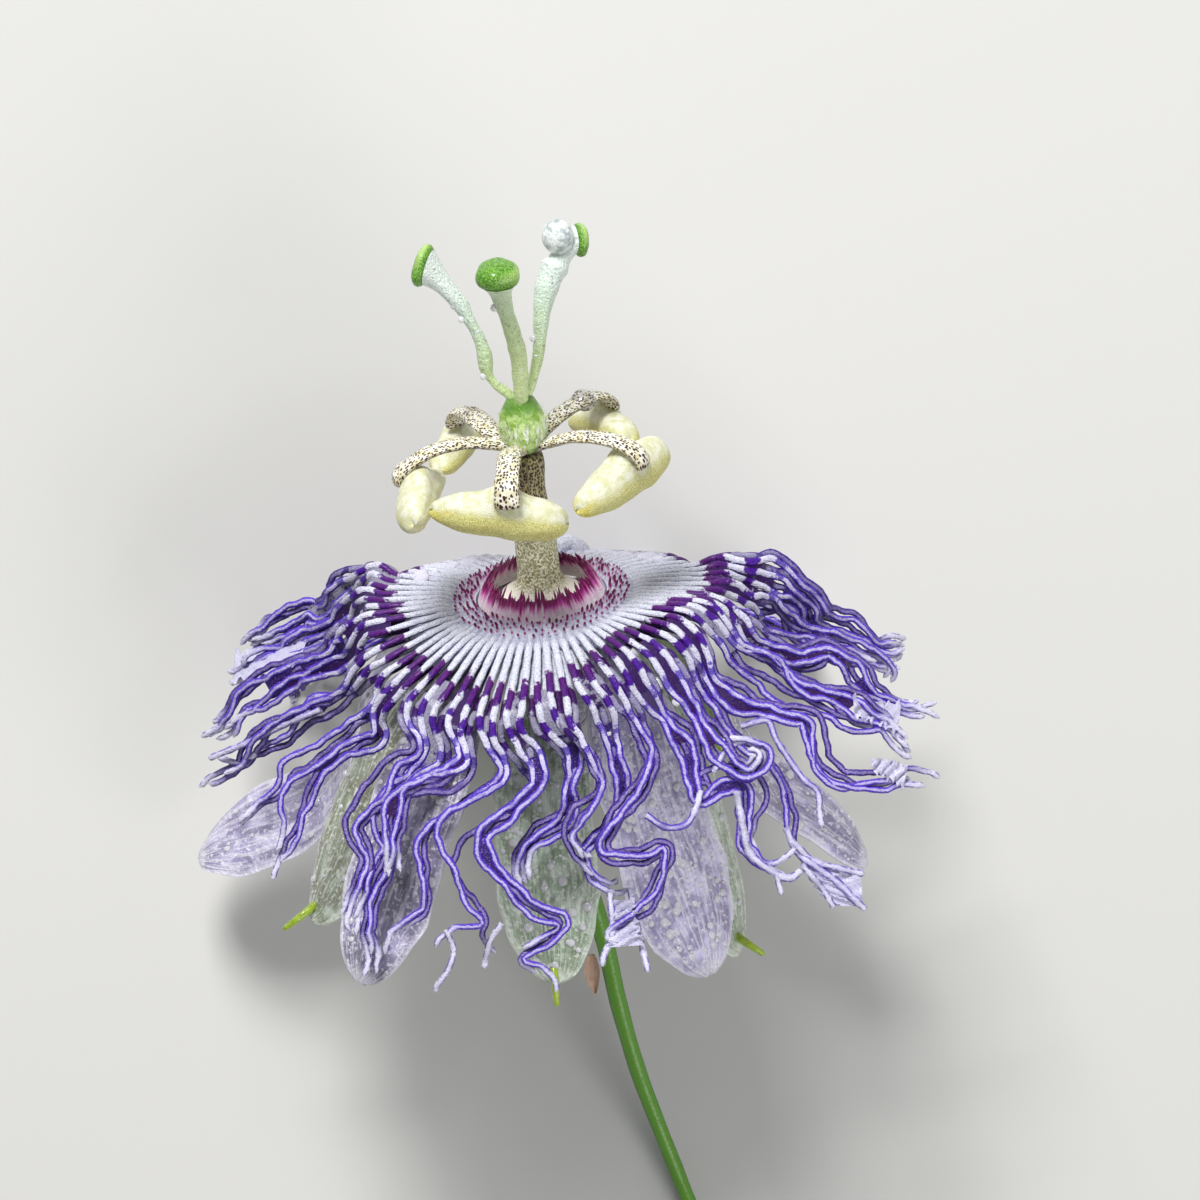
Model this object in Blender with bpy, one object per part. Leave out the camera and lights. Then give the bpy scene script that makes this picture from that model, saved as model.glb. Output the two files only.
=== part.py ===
"""A passion flower, picked and laid on its back, with its cut stalk resting on the surface.

The flower is built round its own axis: local x to the right, y to the back and z up the
column. An empty then lays that axis down, 26 degrees above the surface. Lengths are in
millimetres until the meshes are made.
"""

import math

import bmesh
import bpy
from mathutils import Euler, Vector

MM = 0.001
GAP = 0.3

# How the flower lies: the corona's centre and the direction of the column.
FLOWER_CENTRE = Vector((-2.6, 15.4, 28.0))
AXIS_RISE = 26.0
AXIS_LEAN = 6.0

# Column, ovary and stamens, measured up the column from the corona's centre.
COLUMN_TOP = 14.0
COLUMN_RADIUS = 1.8
OVARY_BASE = COLUMN_TOP + GAP
OVARY_HEIGHT = 5.2
STAMEN_WIDTH = 2.2
STAMEN_THICKNESS = 0.9
ANTHER_LENGTH = 12.2
ANTHER_WIDTH = 3.9
ANTHER_DEPTH = 3.2

# Cup, operculum and disc.
CUP_RADIUS = 7.1
CUP_BOTTOM = -7.0
OPERCULUM_RADIUS = 5.6
DISC_INNER = 5.95
DISC_OUTER = 12.5
DISC_THICKNESS = 1.0

# The edge of the corona, where the threads leave the disc: its radius, and how far above or
# below the centre it stands at every 30 degrees, from the front round by the right.
RIM_RADIUS = 13.0
RIM_HEIGHTS = (-2.8, -0.6, 0.2, -0.7, -1.2, -2.2, -2.8, -1.5, -0.3, -0.3, -2.2, -3.1)

# Tufts of corona threads that hang in front and at the sides. Each has the azimuth where it
# leaves the rim, its lift off the others, and its route as seen from above, in x and y from
# the corona's centre.
TUFT_RADIUS = 0.62
FRONT_TUFTS = (
    (-118, 0.8, ((-14.0, 1.9), (-16.1, 1.1), (-17.6, 0.1), (-19.0, -1.3), (-20.5, -2.1),
                 (-22.0, -1.9), (-25.1, -3.6), (-28.7, -5.2))),
    (-109, -0.8, ((-14.7, -0.2), (-17.0, -1.8), (-19.0, -3.2), (-21.4, -4.6), (-23.2, -5.7),
                  (-25.5, -6.1), (-27.8, -7.6), (-30.5, -8.2))),
    (-100, 0.8, ((-15.2, -2.7), (-17.6, -5.0), (-19.7, -6.3), (-22.6, -7.4), (-25.1, -8.7),
                 (-27.3, -10.1), (-29.3, -12.7), (-31.4, -13.1))),
    (-91, 0.0, ((-15.2, -5.9), (-17.6, -8.4), (-20.6, -10.1), (-24.8, -12.1), (-26.2, -14.0),
                (-27.1, -15.4), (-29.3, -16.8), (-31.6, -17.8))),
    (-83, -2.6, ((-14.9, -7.2), (-17.2, -9.5), (-19.7, -11.0), (-21.7, -12.2), (-23.1, -13.5),
                 (-25.1, -14.2), (-27.1, -15.4), (-30.2, -15.1))),
    (-75, 0.8, ((-13.4, -6.8), (-14.7, -10.2), (-17.4, -12.3), (-20.8, -14.2), (-22.9, -15.8),
                (-23.6, -17.6), (-26.0, -19.8), (-28.4, -22.2))),
    (-64, -0.8, ((-12.5, -8.8), (-14.4, -10.8), (-14.7, -13.1), (-17.6, -14.4), (-20.3, -16.7),
                 (-21.4, -19.2), (-22.4, -22.1), (-25.1, -25.9))),
    (-52, 2.0, ((-10.9, -8.8), (-11.6, -10.8), (-10.8, -14.0), (-12.9, -16.0), (-13.8, -18.0),
                (-16.3, -20.7), (-15.6, -23.7), (-16.1, -26.4), (-17.2, -29.1), (-16.6, -31.8),
                (-17.5, -33.6))),
    (-44, 0.4, ((-8.9, -8.8), (-9.7, -11.1), (-9.1, -14.4), (-11.3, -16.5), (-13.4, -18.3),
                 (-13.9, -21.0), (-13.5, -23.2), (-14.8, -26.4), (-15.6, -30.0), (-15.1, -32.2),
                 (-16.1, -34.5))),
    (-34, 2.0, ((-6.4, -9.0), (-7.1, -12.0), (-6.5, -14.9), (-8.2, -16.6), (-11.8, -17.7),
                (-13.0, -20.1), (-13.1, -23.2), (-13.2, -25.7))),
    (-25, 0.4, ((-4.4, -9.0), (-4.8, -11.3), (-3.9, -14.7), (-4.1, -16.6), (-7.7, -19.0),
                 (-10.2, -21.4), (-10.5, -24.8), (-10.2, -28.2), (-13.4, -30.6), (-14.0, -33.6))),
    (-18, 0.8, ((-3.4, -9.7), (-4.0, -12.4), (-3.1, -15.1), (-3.7, -17.4), (-6.8, -18.7),
                (-8.9, -20.3), (-8.8, -22.5), (-7.1, -26.1), (-6.2, -28.2), (-5.1, -29.5),
                (-7.7, -29.9), (-9.3, -32.2), (-7.7, -34.5), (-8.0, -35.6))),
    (-12, -0.8, ((-3.0, -9.7), (-3.4, -12.9), (-1.9, -15.6), (-1.5, -17.6), (-3.7, -20.1),
                 (-6.8, -21.7), (-7.6, -24.1), (-6.8, -26.6), (-4.9, -28.8), (-5.0, -30.9),
                 (-3.5, -32.7), (-4.1, -33.6))),
    (-5, 0.8, ((-2.4, -8.8), (-2.5, -11.1), (-1.0, -13.8), (-0.3, -15.6), (-0.5, -17.4),
               (-2.8, -19.8), (-4.8, -21.1), (-5.0, -22.8), (-3.0, -25.9), (-0.5, -28.2),
               (2.0, -29.3), (0.4, -31.1), (-1.7, -32.7), (0.4, -34.5), (0.5, -35.8))),
    (3, -0.8, ((0.4, -8.8), (0.7, -10.8), (2.3, -13.3), (2.8, -15.3), (2.4, -17.8),
               (2.3, -19.8), (-0.5, -22.1), (-1.8, -24.1), (-1.4, -26.4), (-0.5, -27.9))),
    (8, 0.8, ((2.6, -8.8), (2.3, -11.1), (3.8, -13.1), (4.8, -15.3), (5.0, -17.6),
               (3.0, -20.1), (2.6, -22.1), (4.4, -24.1), (5.9, -24.6))),
    (15, -0.8, ((4.4, -7.9), (5.9, -10.4), (6.5, -14.0), (7.2, -16.7), (6.9, -19.0),
                (3.8, -22.9), (4.6, -25.3), (6.6, -26.5), (8.4, -25.7))),
    (23, 0.8, ((5.9, -6.6), (7.3, -9.5), (9.1, -12.4), (9.8, -14.9), (8.9, -17.4),
               (5.8, -21.4), (5.9, -23.2), (8.9, -23.5), (11.1, -22.8), (10.7, -25.5),
               (8.9, -28.2), (5.9, -30.4), (8.9, -33.3))),
    (31, -0.8, ((7.8, -7.2), (10.3, -10.3), (13.0, -13.5), (13.7, -16.5), (14.3, -18.3),
                (16.3, -17.1), (18.5, -17.5), (18.4, -20.1), (18.4, -22.5), (20.2, -24.3),
                (22.9, -24.4))),
    (41, 0.8, ((10.0, -5.7), (12.7, -9.0), (14.9, -12.2), (16.3, -14.4), (18.4, -16.0),
               (19.7, -14.4), (17.5, -13.5), (15.9, -14.4))),
    (51, -0.8, ((11.4, -4.3), (14.0, -7.7), (16.3, -11.3), (17.9, -13.5), (20.0, -14.9),
                (21.8, -17.4), (22.3, -20.1), (22.7, -22.8), (24.4, -24.3), (27.4, -24.5))),
    (61, 0.8, ((13.4, -5.2), (15.4, -7.9), (18.4, -10.0), (21.5, -10.8), (23.8, -11.2),
               (24.6, -13.1), (25.3, -15.3), (27.4, -16.7), (30.5, -16.9), (32.8, -16.5),
               (35.0, -16.9), (37.0, -18.0))),
    (71, -0.8, ((14.6, -3.0), (17.5, -5.2), (20.6, -6.8), (22.9, -8.6), (26.0, -9.7),
                (28.9, -11.1), (31.0, -12.0), (32.8, -13.8), (34.1, -14.4))),
    (84, 0.8, ((15.9, -1.8), (18.1, -3.2), (20.2, -4.8), (23.3, -5.7), (26.0, -5.2),
               (28.3, -6.8), (29.8, -8.8), (32.8, -10.4), (36.2, -10.5))),
    (97, -0.8, ((15.7, 0.6), (18.4, -0.5), (20.6, -0.9), (21.7, -2.1), (23.8, -3.4),
                (26.9, -4.3), (29.6, -5.4), (31.7, -6.8), (31.4, -8.6))),
    (110, 0.8, ((15.7, 2.2), (18.4, 1.5), (22.0, 0.4), (24.0, -1.2), (24.9, -3.0),
                (27.8, -4.3), (30.5, -5.4), (32.8, -5.9), (35.0, -5.2))),
)

# The four broad tufts that the flower lies on: azimuth, and how far each sags below the profile.
REAR_TUFTS = ((133, 1.8), (164, 0.0), (196, 0.0), (227, 1.8))
REAR_PROFILE = ((16.0, -4.9), (20.0, -7.6), (24.0, -10.2), (28.0, -12.8), (31.5, -15.4), (34.0, -18.0))
REAR_HALF_WIDTHS = (2.5, 2.9, 3.3, 3.6, 3.6, 3.0, 1.2)
REAR_HALF_THICKNESS = 0.35

# Tepals: azimuth, the radius and height of the tip, the twist of the blade about its length,
# its half width, how many degrees it drifts sideways on its way, and how far its middle sags.
PETALS = (
    (-106, 35.5, -28.0, 32.0, 5.0, 0.0, 3.6),
    (-46, 27.5, -27.5, 8.0, 5.1, 0.0, 0.0),
    (38, 17.9, -33.4, 0.0, 5.8, 2.0, 0.4),
    (102, 27.0, -29.9, -30.0, 4.6, -14.0, 2.5),
    (180, 25.0, -27.0, 0.0, 4.8, 0.0, 0.0),
)
SEPALS = (
    (-78, 24.5, -27.8, 26.0, 4.6, 0.0, 0.0),
    (-8, 17.6, -30.5, 0.0, 4.6, 0.0, 0.0),
    (72, 16.2, -34.8, -12.0, 4.5, -8.0, 0.0),
    (144, 24.0, -26.0, 0.0, 4.5, 0.0, 0.0),
    (-144, 24.0, -26.0, 0.0, 4.5, 0.0, 0.0),
)
TEPAL_ROOT_RADIUS = 7.6
PETAL_ROOT_HEIGHT = -2.6
SEPAL_ROOT_HEIGHT = -3.7
TEPAL_THICKNESS = 0.5

# Each sepal's awn, from its tip, in x, y and z as the flower lies.
AWNS = ((-3.0, -2.3, 0.2), (0.3, -3.4, 0.0), (2.6, -1.7, 0.2), (1.6, -2.1, 0.2), (-1.5, -2.2, 0.2))

# Stamens. Each strap is its azimuth, its reach, how far its root is turned from that azimuth, and
# how far its middle rises and its end sinks from the usual arch. Each anther is its middle and the
# way that it lies, as the flower lies.
STRAPS = (
    (-11, 11.0, -12, 0.5, 0.0),
    (64, 11.4, 0, 0.1, 0.0),
    (136, 11.4, 0, -0.2, 0.0),
    (-147, 11.1, 30, -0.5, 0.7),
    (-80, 11.8, 0, 0.0, 0.5),
)
ANTHERS = (
    ((-3.5, 6.75, 13.2), (0.99, -0.10, -0.05)),
    ((7.45, 10.3, 8.7), (0.64, 0.48, -0.60)),
    ((5.65, 14.9, -2.75), (0.42, -0.16, 0.89)),
    ((-7.45, 13.4, -4.8), (-0.30, -0.35, 0.885)),
    ((-10.65, 8.35, 7.4), (-0.15, -0.35, 0.92)),
)

# Styles, in x, y and z from the corona's centre: the bends of each arm from the ovary's top, and
# then the centre and facing of its stigma.
STYLES = (
    (((-2.85, 17.65, 8.4), (-3.97, 18.5, 8.8), (-4.75, 19.6, 9.1), (-5.0, 21.2, 9.8), (-5.5, 22.7, 10.4),
      (-6.3, 24.15, 11.0), (-7.0, 25.4, 11.4), (-8.0, 27.0, 12.0)),
     (-10.05, 28.85, 12.5), (-0.93, 0.30, -0.2)),
    (((-1.75, 18.0, 9.9), (-1.9, 20.7, 11.6), (-2.4, 22.8, 13.2), (-3.0, 24.7, 14.7), (-3.4, 26.0, 15.8)),
     (-3.7, 27.5, 17.0), (-0.05, 0.83, 0.55)),
    (((-0.95, 18.1, 8.2), (-0.3, 20.6, 8.7), (-0.05, 22.4, 9.1), (0.05, 24.0, 9.4), (0.27, 25.8, 9.7),
      (0.75, 27.7, 9.9), (1.45, 29.3, 9.9)), (3.2, 31.4, 9.6), (0.95, 0.10, -0.3)),
)
STYLE_RADIUS = 0.5
STIGMA_RADIUS = 1.9

# The stalk, from the cup down to its cut end.
STALK = (
    (1.6, -15.0, -7.3), (3.4, -24.0, -11.6), (5.7, -32.0, -15.6), (7.0, -37.9, -18.5),
    (8.8, -44.3, -21.5), (10.9, -50.0, -24.2), (12.7, -54.6, -25.9), (16.5, -64.0, -27.35),
)
STALK_TOP_RADIUS = 1.0
STALK_END_RADIUS = 0.65
BRACT_FOOT = (4.55, -33.4, -16.6)
BRACT_TIP = (5.0, -37.0, -18.4)
BRACT_HALF_WIDTH = 0.75
BRACT_THICKNESS = 0.35

LAY_DOWN = Euler(
    (math.radians(AXIS_RISE - 90.0), 0.0, math.radians(AXIS_LEAN)), "XYZ"
).to_matrix()
STAND_UP = LAY_DOWN.inverted()
FLOOR = -FLOWER_CENTRE.z
FLOOR_NORMAL = STAND_UP @ Vector((0.0, 0.0, 1.0))


def around(azimuth, radius, height):
    """A point in the flower's own frame; azimuth 0 is the front, positive to the right."""
    turn = math.radians(azimuth)
    return Vector((radius * math.sin(turn), -radius * math.cos(turn), height))


def in_flower(point):
    """A point given as the flower lies, from the corona's centre, in the flower's frame."""
    return STAND_UP @ Vector(point)


def rest_on_floor(point, clearance):
    """Bend a point of the flower's frame up to the surface it lies on."""
    lying = LAY_DOWN @ point
    lowest = FLOOR + clearance
    softness = 2.0
    depth = lying.z - lowest
    if depth < -softness:
        lying.z = lowest
    elif depth < softness:
        lying.z = lowest + (depth + softness) ** 2 / (4.0 * softness)
    return STAND_UP @ lying


def rim_height(azimuth):
    """Height of the corona's rim, read smoothly between the listed azimuths."""
    place = (azimuth % 360.0) / 30.0
    before = int(place)
    share = place - before
    blend = share * share * (3.0 - 2.0 * share)
    low = RIM_HEIGHTS[before % 12]
    high = RIM_HEIGHTS[(before + 1) % 12]
    return low + (high - low) * blend


def smooth_route(points, count):
    """Evenly spaced points on a smooth curve through the given ones."""
    padded = [points[0] * 2 - points[1], *points, points[-1] * 2 - points[-2]]
    fine = []
    steps = 12
    for i in range(1, len(padded) - 2):
        p0, p1, p2, p3 = padded[i - 1 : i + 3]
        for step in range(steps):
            t = step / steps
            fine.append(
                0.5
                * (
                    2 * p1
                    + (p2 - p0) * t
                    + (2 * p0 - 5 * p1 + 4 * p2 - p3) * t * t
                    + (3 * p1 - p0 - 3 * p2 + p3) * t * t * t
                )
            )
    fine.append(points[-1].copy())
    lengths = [0.0]
    for before, after in zip(fine, fine[1:]):
        lengths.append(lengths[-1] + (after - before).length)
    even = []
    at = 0
    for i in range(count):
        wanted = lengths[-1] * i / (count - 1)
        while at < len(lengths) - 2 and lengths[at + 1] < wanted:
            at += 1
        share = (wanted - lengths[at]) / max(lengths[at + 1] - lengths[at], 1e-9)
        even.append(fine[at].lerp(fine[at + 1], share))
    return even


def read_curve(values, share):
    """A value between listed ones, at a share from 0 to 1 of the way along them."""
    place = share * (len(values) - 1)
    before = min(int(place), len(values) - 2)
    return values[before] + (values[before + 1] - values[before]) * (place - before)


def plain_material(name, colour, roughness):
    material = bpy.data.materials.new(name)
    material.use_nodes = True
    shader = material.node_tree.nodes["Principled BSDF"]
    shader.inputs["Base Color"].default_value = (*colour, 1.0)
    shader.inputs["Roughness"].default_value = roughness
    material.diffuse_color = (*colour, 1.0)
    return material


def add_object(name, mesh_builder, material, flower):
    """Turn a filled bmesh, in millimetres, into a named object that lies with the flower."""
    bmesh.ops.scale(mesh_builder, vec=(MM, MM, MM), verts=mesh_builder.verts)
    bmesh.ops.recalc_face_normals(mesh_builder, faces=mesh_builder.faces)
    mesh = bpy.data.meshes.new(name)
    mesh_builder.to_mesh(mesh)
    mesh_builder.free()
    mesh.shade_smooth()
    mesh.set_sharp_from_angle(angle=math.radians(50.0))
    mesh.materials.append(material)
    piece = bpy.data.objects.new(name, mesh)
    bpy.context.collection.objects.link(piece)
    piece.parent = flower
    return piece


def tube(route, half_widths, half_heights, sides, facing=None):
    """A closed tube with an oval section, whose height points along facing at each point."""
    builder = bmesh.new()
    rings = []
    side = None
    for i, centre in enumerate(route):
        ahead = route[min(i + 1, len(route) - 1)] - route[max(i - 1, 0)]
        ahead.normalize()
        if facing is not None:
            side = ahead.cross(facing[i])
        elif side is None:
            side = ahead.cross(Vector((0.0, 0.3, 1.0)))
        else:
            side = side - ahead * side.dot(ahead)
        side.normalize()
        up = side.cross(ahead)
        ring = []
        for k in range(sides):
            turn = 2.0 * math.pi * k / sides
            offset = side * (half_widths[i] * math.cos(turn)) + up * (half_heights[i] * math.sin(turn))
            ring.append(builder.verts.new(centre + offset))
        rings.append(ring)
    bridge(builder, rings)
    builder.faces.new(rings[0])
    builder.faces.new(rings[-1])
    return builder


def bridge(builder, rings):
    """Quads between each closed ring of vertices and the next."""
    for ring, following in zip(rings, rings[1:]):
        for k in range(len(ring)):
            after = (k + 1) % len(ring)
            builder.faces.new((ring[k], ring[after], following[after], following[k]))


def turned(outline, sides):
    """A solid turned round the axis; its outline starts and ends on the axis."""
    builder = bmesh.new()
    rings = []
    for radius, height in outline[1:-1]:
        rings.append([builder.verts.new(around(360.0 * k / sides, radius, height)) for k in range(sides)])
    bridge(builder, rings)
    for ring, (_, height) in ((rings[0], outline[0]), (rings[-1], outline[-1])):
        pole = builder.verts.new((0.0, 0.0, height))
        for k in range(sides):
            builder.faces.new((ring[k], ring[(k + 1) % sides], pole))
    return builder


def ring_solid(outline_at, sides):
    """A closed ring round the axis; its section may change with the azimuth."""
    builder = bmesh.new()
    sections = []
    for k in range(sides):
        azimuth = 360.0 * k / sides
        sections.append([builder.verts.new(around(azimuth, *place)) for place in outline_at(azimuth)])
    bridge(builder, [*sections, sections[0]])
    return builder


def sheet(rows, thickness):
    """A closed thin solid over a grid of points on its middle surface."""
    builder = bmesh.new()
    count = len(rows)
    across = len(rows[0])
    faces_up = []
    faces_down = []
    for i in range(count):
        upper = []
        lower = []
        for j in range(across):
            along = rows[min(i + 1, count - 1)][j] - rows[max(i - 1, 0)][j]
            sideways = rows[i][min(j + 1, across - 1)] - rows[i][max(j - 1, 0)]
            normal = sideways.cross(along).normalized() * (thickness / 2.0)
            upper.append(builder.verts.new(rows[i][j] + normal))
            lower.append(builder.verts.new(rows[i][j] - normal))
        faces_up.append(upper)
        faces_down.append(lower)
    for i in range(count - 1):
        for j in range(across - 1):
            for grid in (faces_up, faces_down):
                builder.faces.new((grid[i][j], grid[i][j + 1], grid[i + 1][j + 1], grid[i + 1][j]))
    edge = [(i, 0) for i in range(count)]
    edge += [(count - 1, j) for j in range(1, across)]
    edge += [(i, across - 1) for i in range(count - 2, -1, -1)]
    edge += [(0, j) for j in range(across - 2, 0, -1)]
    for (i, j), (m, n) in zip(edge, [*edge[1:], edge[0]]):
        builder.faces.new((faces_up[i][j], faces_up[m][n], faces_down[m][n], faces_down[i][j]))
    return builder


def make_column(flower):
    outline = (
        (0.0, -0.7), (4.1, -0.7), (4.0, -0.25), (3.1, 0.3), (2.3, 1.1), (1.95, 2.2), (COLUMN_RADIUS, 4.0),
        (COLUMN_RADIUS * 0.94, COLUMN_TOP - 2.0), (1.3, COLUMN_TOP), (0.0, COLUMN_TOP),
    )
    material = plain_material("column_green_beige", (0.46, 0.44, 0.30), 0.55)
    add_object("androgynophore", turned(outline, 20), material, flower)


def make_ovary(flower):
    shares = (0.0, 0.0, 0.06, 0.2, 0.4, 0.55, 0.72, 0.88, 1.0, 1.0)
    radii = (0.0, 1.2, 1.6, 2.0, 2.2, 2.15, 1.8, 1.35, 1.0, 0.0)
    outline = [(radius, OVARY_BASE + OVARY_HEIGHT * share) for share, radius in zip(shares, radii)]
    material = plain_material("ovary_green", (0.27, 0.48, 0.12), 0.6)
    add_object("ovary", turned(outline, 20), material, flower)


def make_cup(flower):
    outline = (
        (0.0, CUP_BOTTOM), (1.6, CUP_BOTTOM), (3.6, -6.6), (5.8, -5.3), (CUP_RADIUS, -3.2),
        (CUP_RADIUS, -2.0), (CUP_RADIUS - 0.7, -1.9), (4.9, -1.75), (4.2, -1.05), (0.0, -1.05),
    )
    material = plain_material("cup_green", (0.30, 0.42, 0.16), 0.6)
    add_object("floral_cup", turned(outline, 28), material, flower)


def make_operculum(flower):
    outline = (
        (OPERCULUM_RADIUS, -1.2), (OPERCULUM_RADIUS, 0.2), (5.1, 1.2), (4.6, 1.9),
        (4.35, 1.85), (4.75, 1.0), (5.15, 0.0), (5.2, -1.2),
    )
    material = plain_material("operculum_magenta", (0.22, 0.02, 0.10), 0.5)
    add_object("operculum", ring_solid(lambda azimuth: outline, 28), material, flower)


def disc_height(azimuth, radius):
    """Top of the corona disc: level at its inner edge, drooping or lifting to the rim."""
    share = max(0.0, (radius - DISC_INNER) / (RIM_RADIUS - DISC_INNER))
    return rim_height(azimuth) * share ** 1.4 - 0.25 * (1.0 - share)


def disc_outline(azimuth):
    upper = [(r, disc_height(azimuth, r)) for r in (DISC_INNER, 7.6, 9.2, 10.9, DISC_OUTER)]
    lower = [(r, h - DISC_THICKNESS) for r, h in reversed(upper)]
    return upper + lower


def make_disc(flower):
    material = plain_material("disc_white", (0.68, 0.70, 0.80), 0.45)
    add_object("corona_disc", ring_solid(disc_outline, 48), material, flower)


def make_stamen(number, strap, anther, flower, materials):
    azimuth, reach, root_turn, rise, sink = strap
    centre, direction = anther
    profile = (
        (0.0, COLUMN_RADIUS + 0.45, 13.6), (0.1, 3.4, 15.0), (0.3, 5.4, 15.9), (0.6, 8.2, 16.0),
        (0.9, 10.3, 15.5), (1.0, reach - 0.1, 14.6), (1.0, reach, 13.6),
    )
    points = []
    for share, radius, height in profile:
        lift = rise * math.sin(math.pi * share) - sink * share ** 2
        points.append(around(azimuth + root_turn * (1.0 - share) ** 3, radius, height + lift))
    route = smooth_route(points, 9)
    widths = [STAMEN_WIDTH / 2 * read_curve((0.62, 0.85, 1.0, 1.0, 1.05), i / 8) for i in range(9)]
    heights = [STAMEN_THICKNESS / 2] * 9
    facing = [around(azimuth, 0.6, 1.0)] * 9
    add_object(f"stamen_filament_{number}", tube(route, widths, heights, 8, facing), materials[0], flower)

    middle = in_flower(centre)
    along = in_flower(direction).normalized() * (ANTHER_LENGTH / 2)
    towards_strap = (route[-1] - middle).normalized()
    rings = 12
    body = []
    widths = []
    heights = []
    for i in range(rings):
        place = -math.cos(math.pi * (0.035 + 0.93 * i / (rings - 1)))
        full = (1.0 - abs(place) ** 5) ** 0.5
        body.append(middle + along * place)
        widths.append(ANTHER_WIDTH / 2 * full)
        heights.append(ANTHER_DEPTH / 2 * full)
    pod = tube(body, widths, heights, 12, [towards_strap] * rings)
    add_object(f"anther_{number}", pod, materials[1], flower)


def make_style(number, bends, centre, direction, flower, material):
    middle = in_flower(centre)
    facing = in_flower(direction).normalized()
    arm = [in_flower(point) for point in bends]
    route = smooth_route([*arm, middle - facing * 1.1], 16)
    radii = [STYLE_RADIUS * read_curve((1.0, 0.95, 1.1, 1.4, 2.0), i / 15) for i in range(16)]
    for step, share in ((-0.35, 0.75), (0.0, 0.95), (0.35, 1.0), (0.75, 0.85), (1.0, 0.45)):
        route.append(middle + facing * step)
        radii.append(STIGMA_RADIUS * share)
    add_object(f"style_{number}", tube(route, radii, radii, 10), material, flower)


def tepal_rows(azimuth, tip_radius, tip_height, twist, half_width, drift, sag, root_height):
    """Points over a tepal's middle surface, from its root to its tip."""
    shares = (0.0, 0.08, 0.18, 0.3, 0.42, 0.54, 0.66, 0.77, 0.86, 0.93, 0.975, 1.0)
    widths = (0.4, 0.55, 0.72, 0.88, 0.96, 1.0, 1.0, 0.95, 0.84, 0.64, 0.4, 0.14)
    rows = []
    for share, width in zip(shares, widths):
        dip = sag * math.sin(math.pi * max(0.0, (share - 0.2) / 0.8)) ** 2
        radius = TEPAL_ROOT_RADIUS + (tip_radius - TEPAL_ROOT_RADIUS) * share ** 0.85 - dip
        height = root_height + (tip_height - root_height) * share ** 1.15 - dip
        turn = math.radians(twist) * min(1.0, 2.0 * share)
        heading = azimuth + drift * share * share
        row = []
        for j in range(7):
            across = (j - 3) / 3.0
            offset = half_width * width * across * math.cos(turn)
            spread = math.degrees(math.atan2(offset, radius))
            cupped = height - 0.7 * across * across * width - half_width * width * across * math.sin(turn)
            point = around(heading + spread, math.hypot(radius, offset), cupped)
            row.append(rest_on_floor(point, TEPAL_THICKNESS / 2))
        rows.append(row)
    return rows


def add_awn(rows, awn):
    """Carry a sepal's last row on, drawn together, to the end of its awn."""
    last = rows[-1]
    middle = last[3]
    for share in (0.3, 1.0):
        centre = rest_on_floor(middle + in_flower(awn) * share, TEPAL_THICKNESS / 2)
        rows.append([centre + (point - middle) * 0.5 for point in last])


def make_tepals(flower):
    petal_material = plain_material("petal_lavender", (0.46, 0.40, 0.54), 0.5)
    sepal_material = plain_material("sepal_grey_green", (0.34, 0.42, 0.28), 0.55)
    for number, petal in enumerate(PETALS, 1):
        rows = tepal_rows(*petal, PETAL_ROOT_HEIGHT)
        add_object(f"petal_{number}", sheet(rows, TEPAL_THICKNESS), petal_material, flower)
    for number, (sepal, awn) in enumerate(zip(SEPALS, AWNS), 1):
        rows = tepal_rows(*sepal, SEPAL_ROOT_HEIGHT)
        add_awn(rows, awn)
        add_object(f"sepal_{number}", sheet(rows, TEPAL_THICKNESS), sepal_material, flower)


def tip_depth(azimuth):
    """How high, as the flower lies, the tip of a corona tuft is from the corona's centre."""
    turn = math.radians(azimuth)
    radius = 24.0 + 10.0 * math.sin(turn) ** 2
    height = -28.0 + 14.0 * math.sin(turn) ** 2
    return (LAY_DOWN @ around(azimuth, radius, height)).z


def front_route(azimuth, lift, points):
    """Centre line of a hanging tuft, from the rim to its tip, in the flower's frame."""
    start = LAY_DOWN @ around(azimuth, RIM_RADIUS, rim_height(azimuth) - DISC_THICKNESS / 2)
    lead = LAY_DOWN @ around(azimuth, RIM_RADIUS + 0.8, rim_height(azimuth) - DISC_THICKNESS / 2 - 0.2)
    end_height = tip_depth(azimuth)
    lying = [start, lead]
    for number, (x, y) in enumerate(points, 1):
        share = number / len(points)
        swell = math.sin(math.pi * share)
        rise = 1.5 * swell * math.cos(math.radians(azimuth)) + lift * min(1.0, 3.0 * share)
        lying.append(Vector((x, y, start.z + (end_height - start.z) * share + rise)))
    return smooth_route([STAND_UP @ point for point in lying], 5 + 3 * len(points) // 2)


def room_beside(route, others):
    """For each point of a route, the distance to the nearest other tuft."""
    room = []
    for point in route:
        room.append(min((point - place).length for other in others for place in other))
    return room


def make_front_tufts(flower, material):
    routes = [front_route(*tuft) for tuft in FRONT_TUFTS]
    dense = [smooth_route(route, 90) for route in routes]
    for number, route in enumerate(routes):
        others = dense[:number] + dense[number + 1 :]
        radii = []
        for i, room in enumerate(room_beside(route, others)):
            taper = 1.0 - 0.5 * i / (len(route) - 1)
            radii.append(max(0.12, min(TUFT_RADIUS * taper, room / 2 - GAP / 2)))
        add_object(f"corona_tuft_{number + 1:02d}", tube(route, radii, radii, 5), material, flower)


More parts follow.
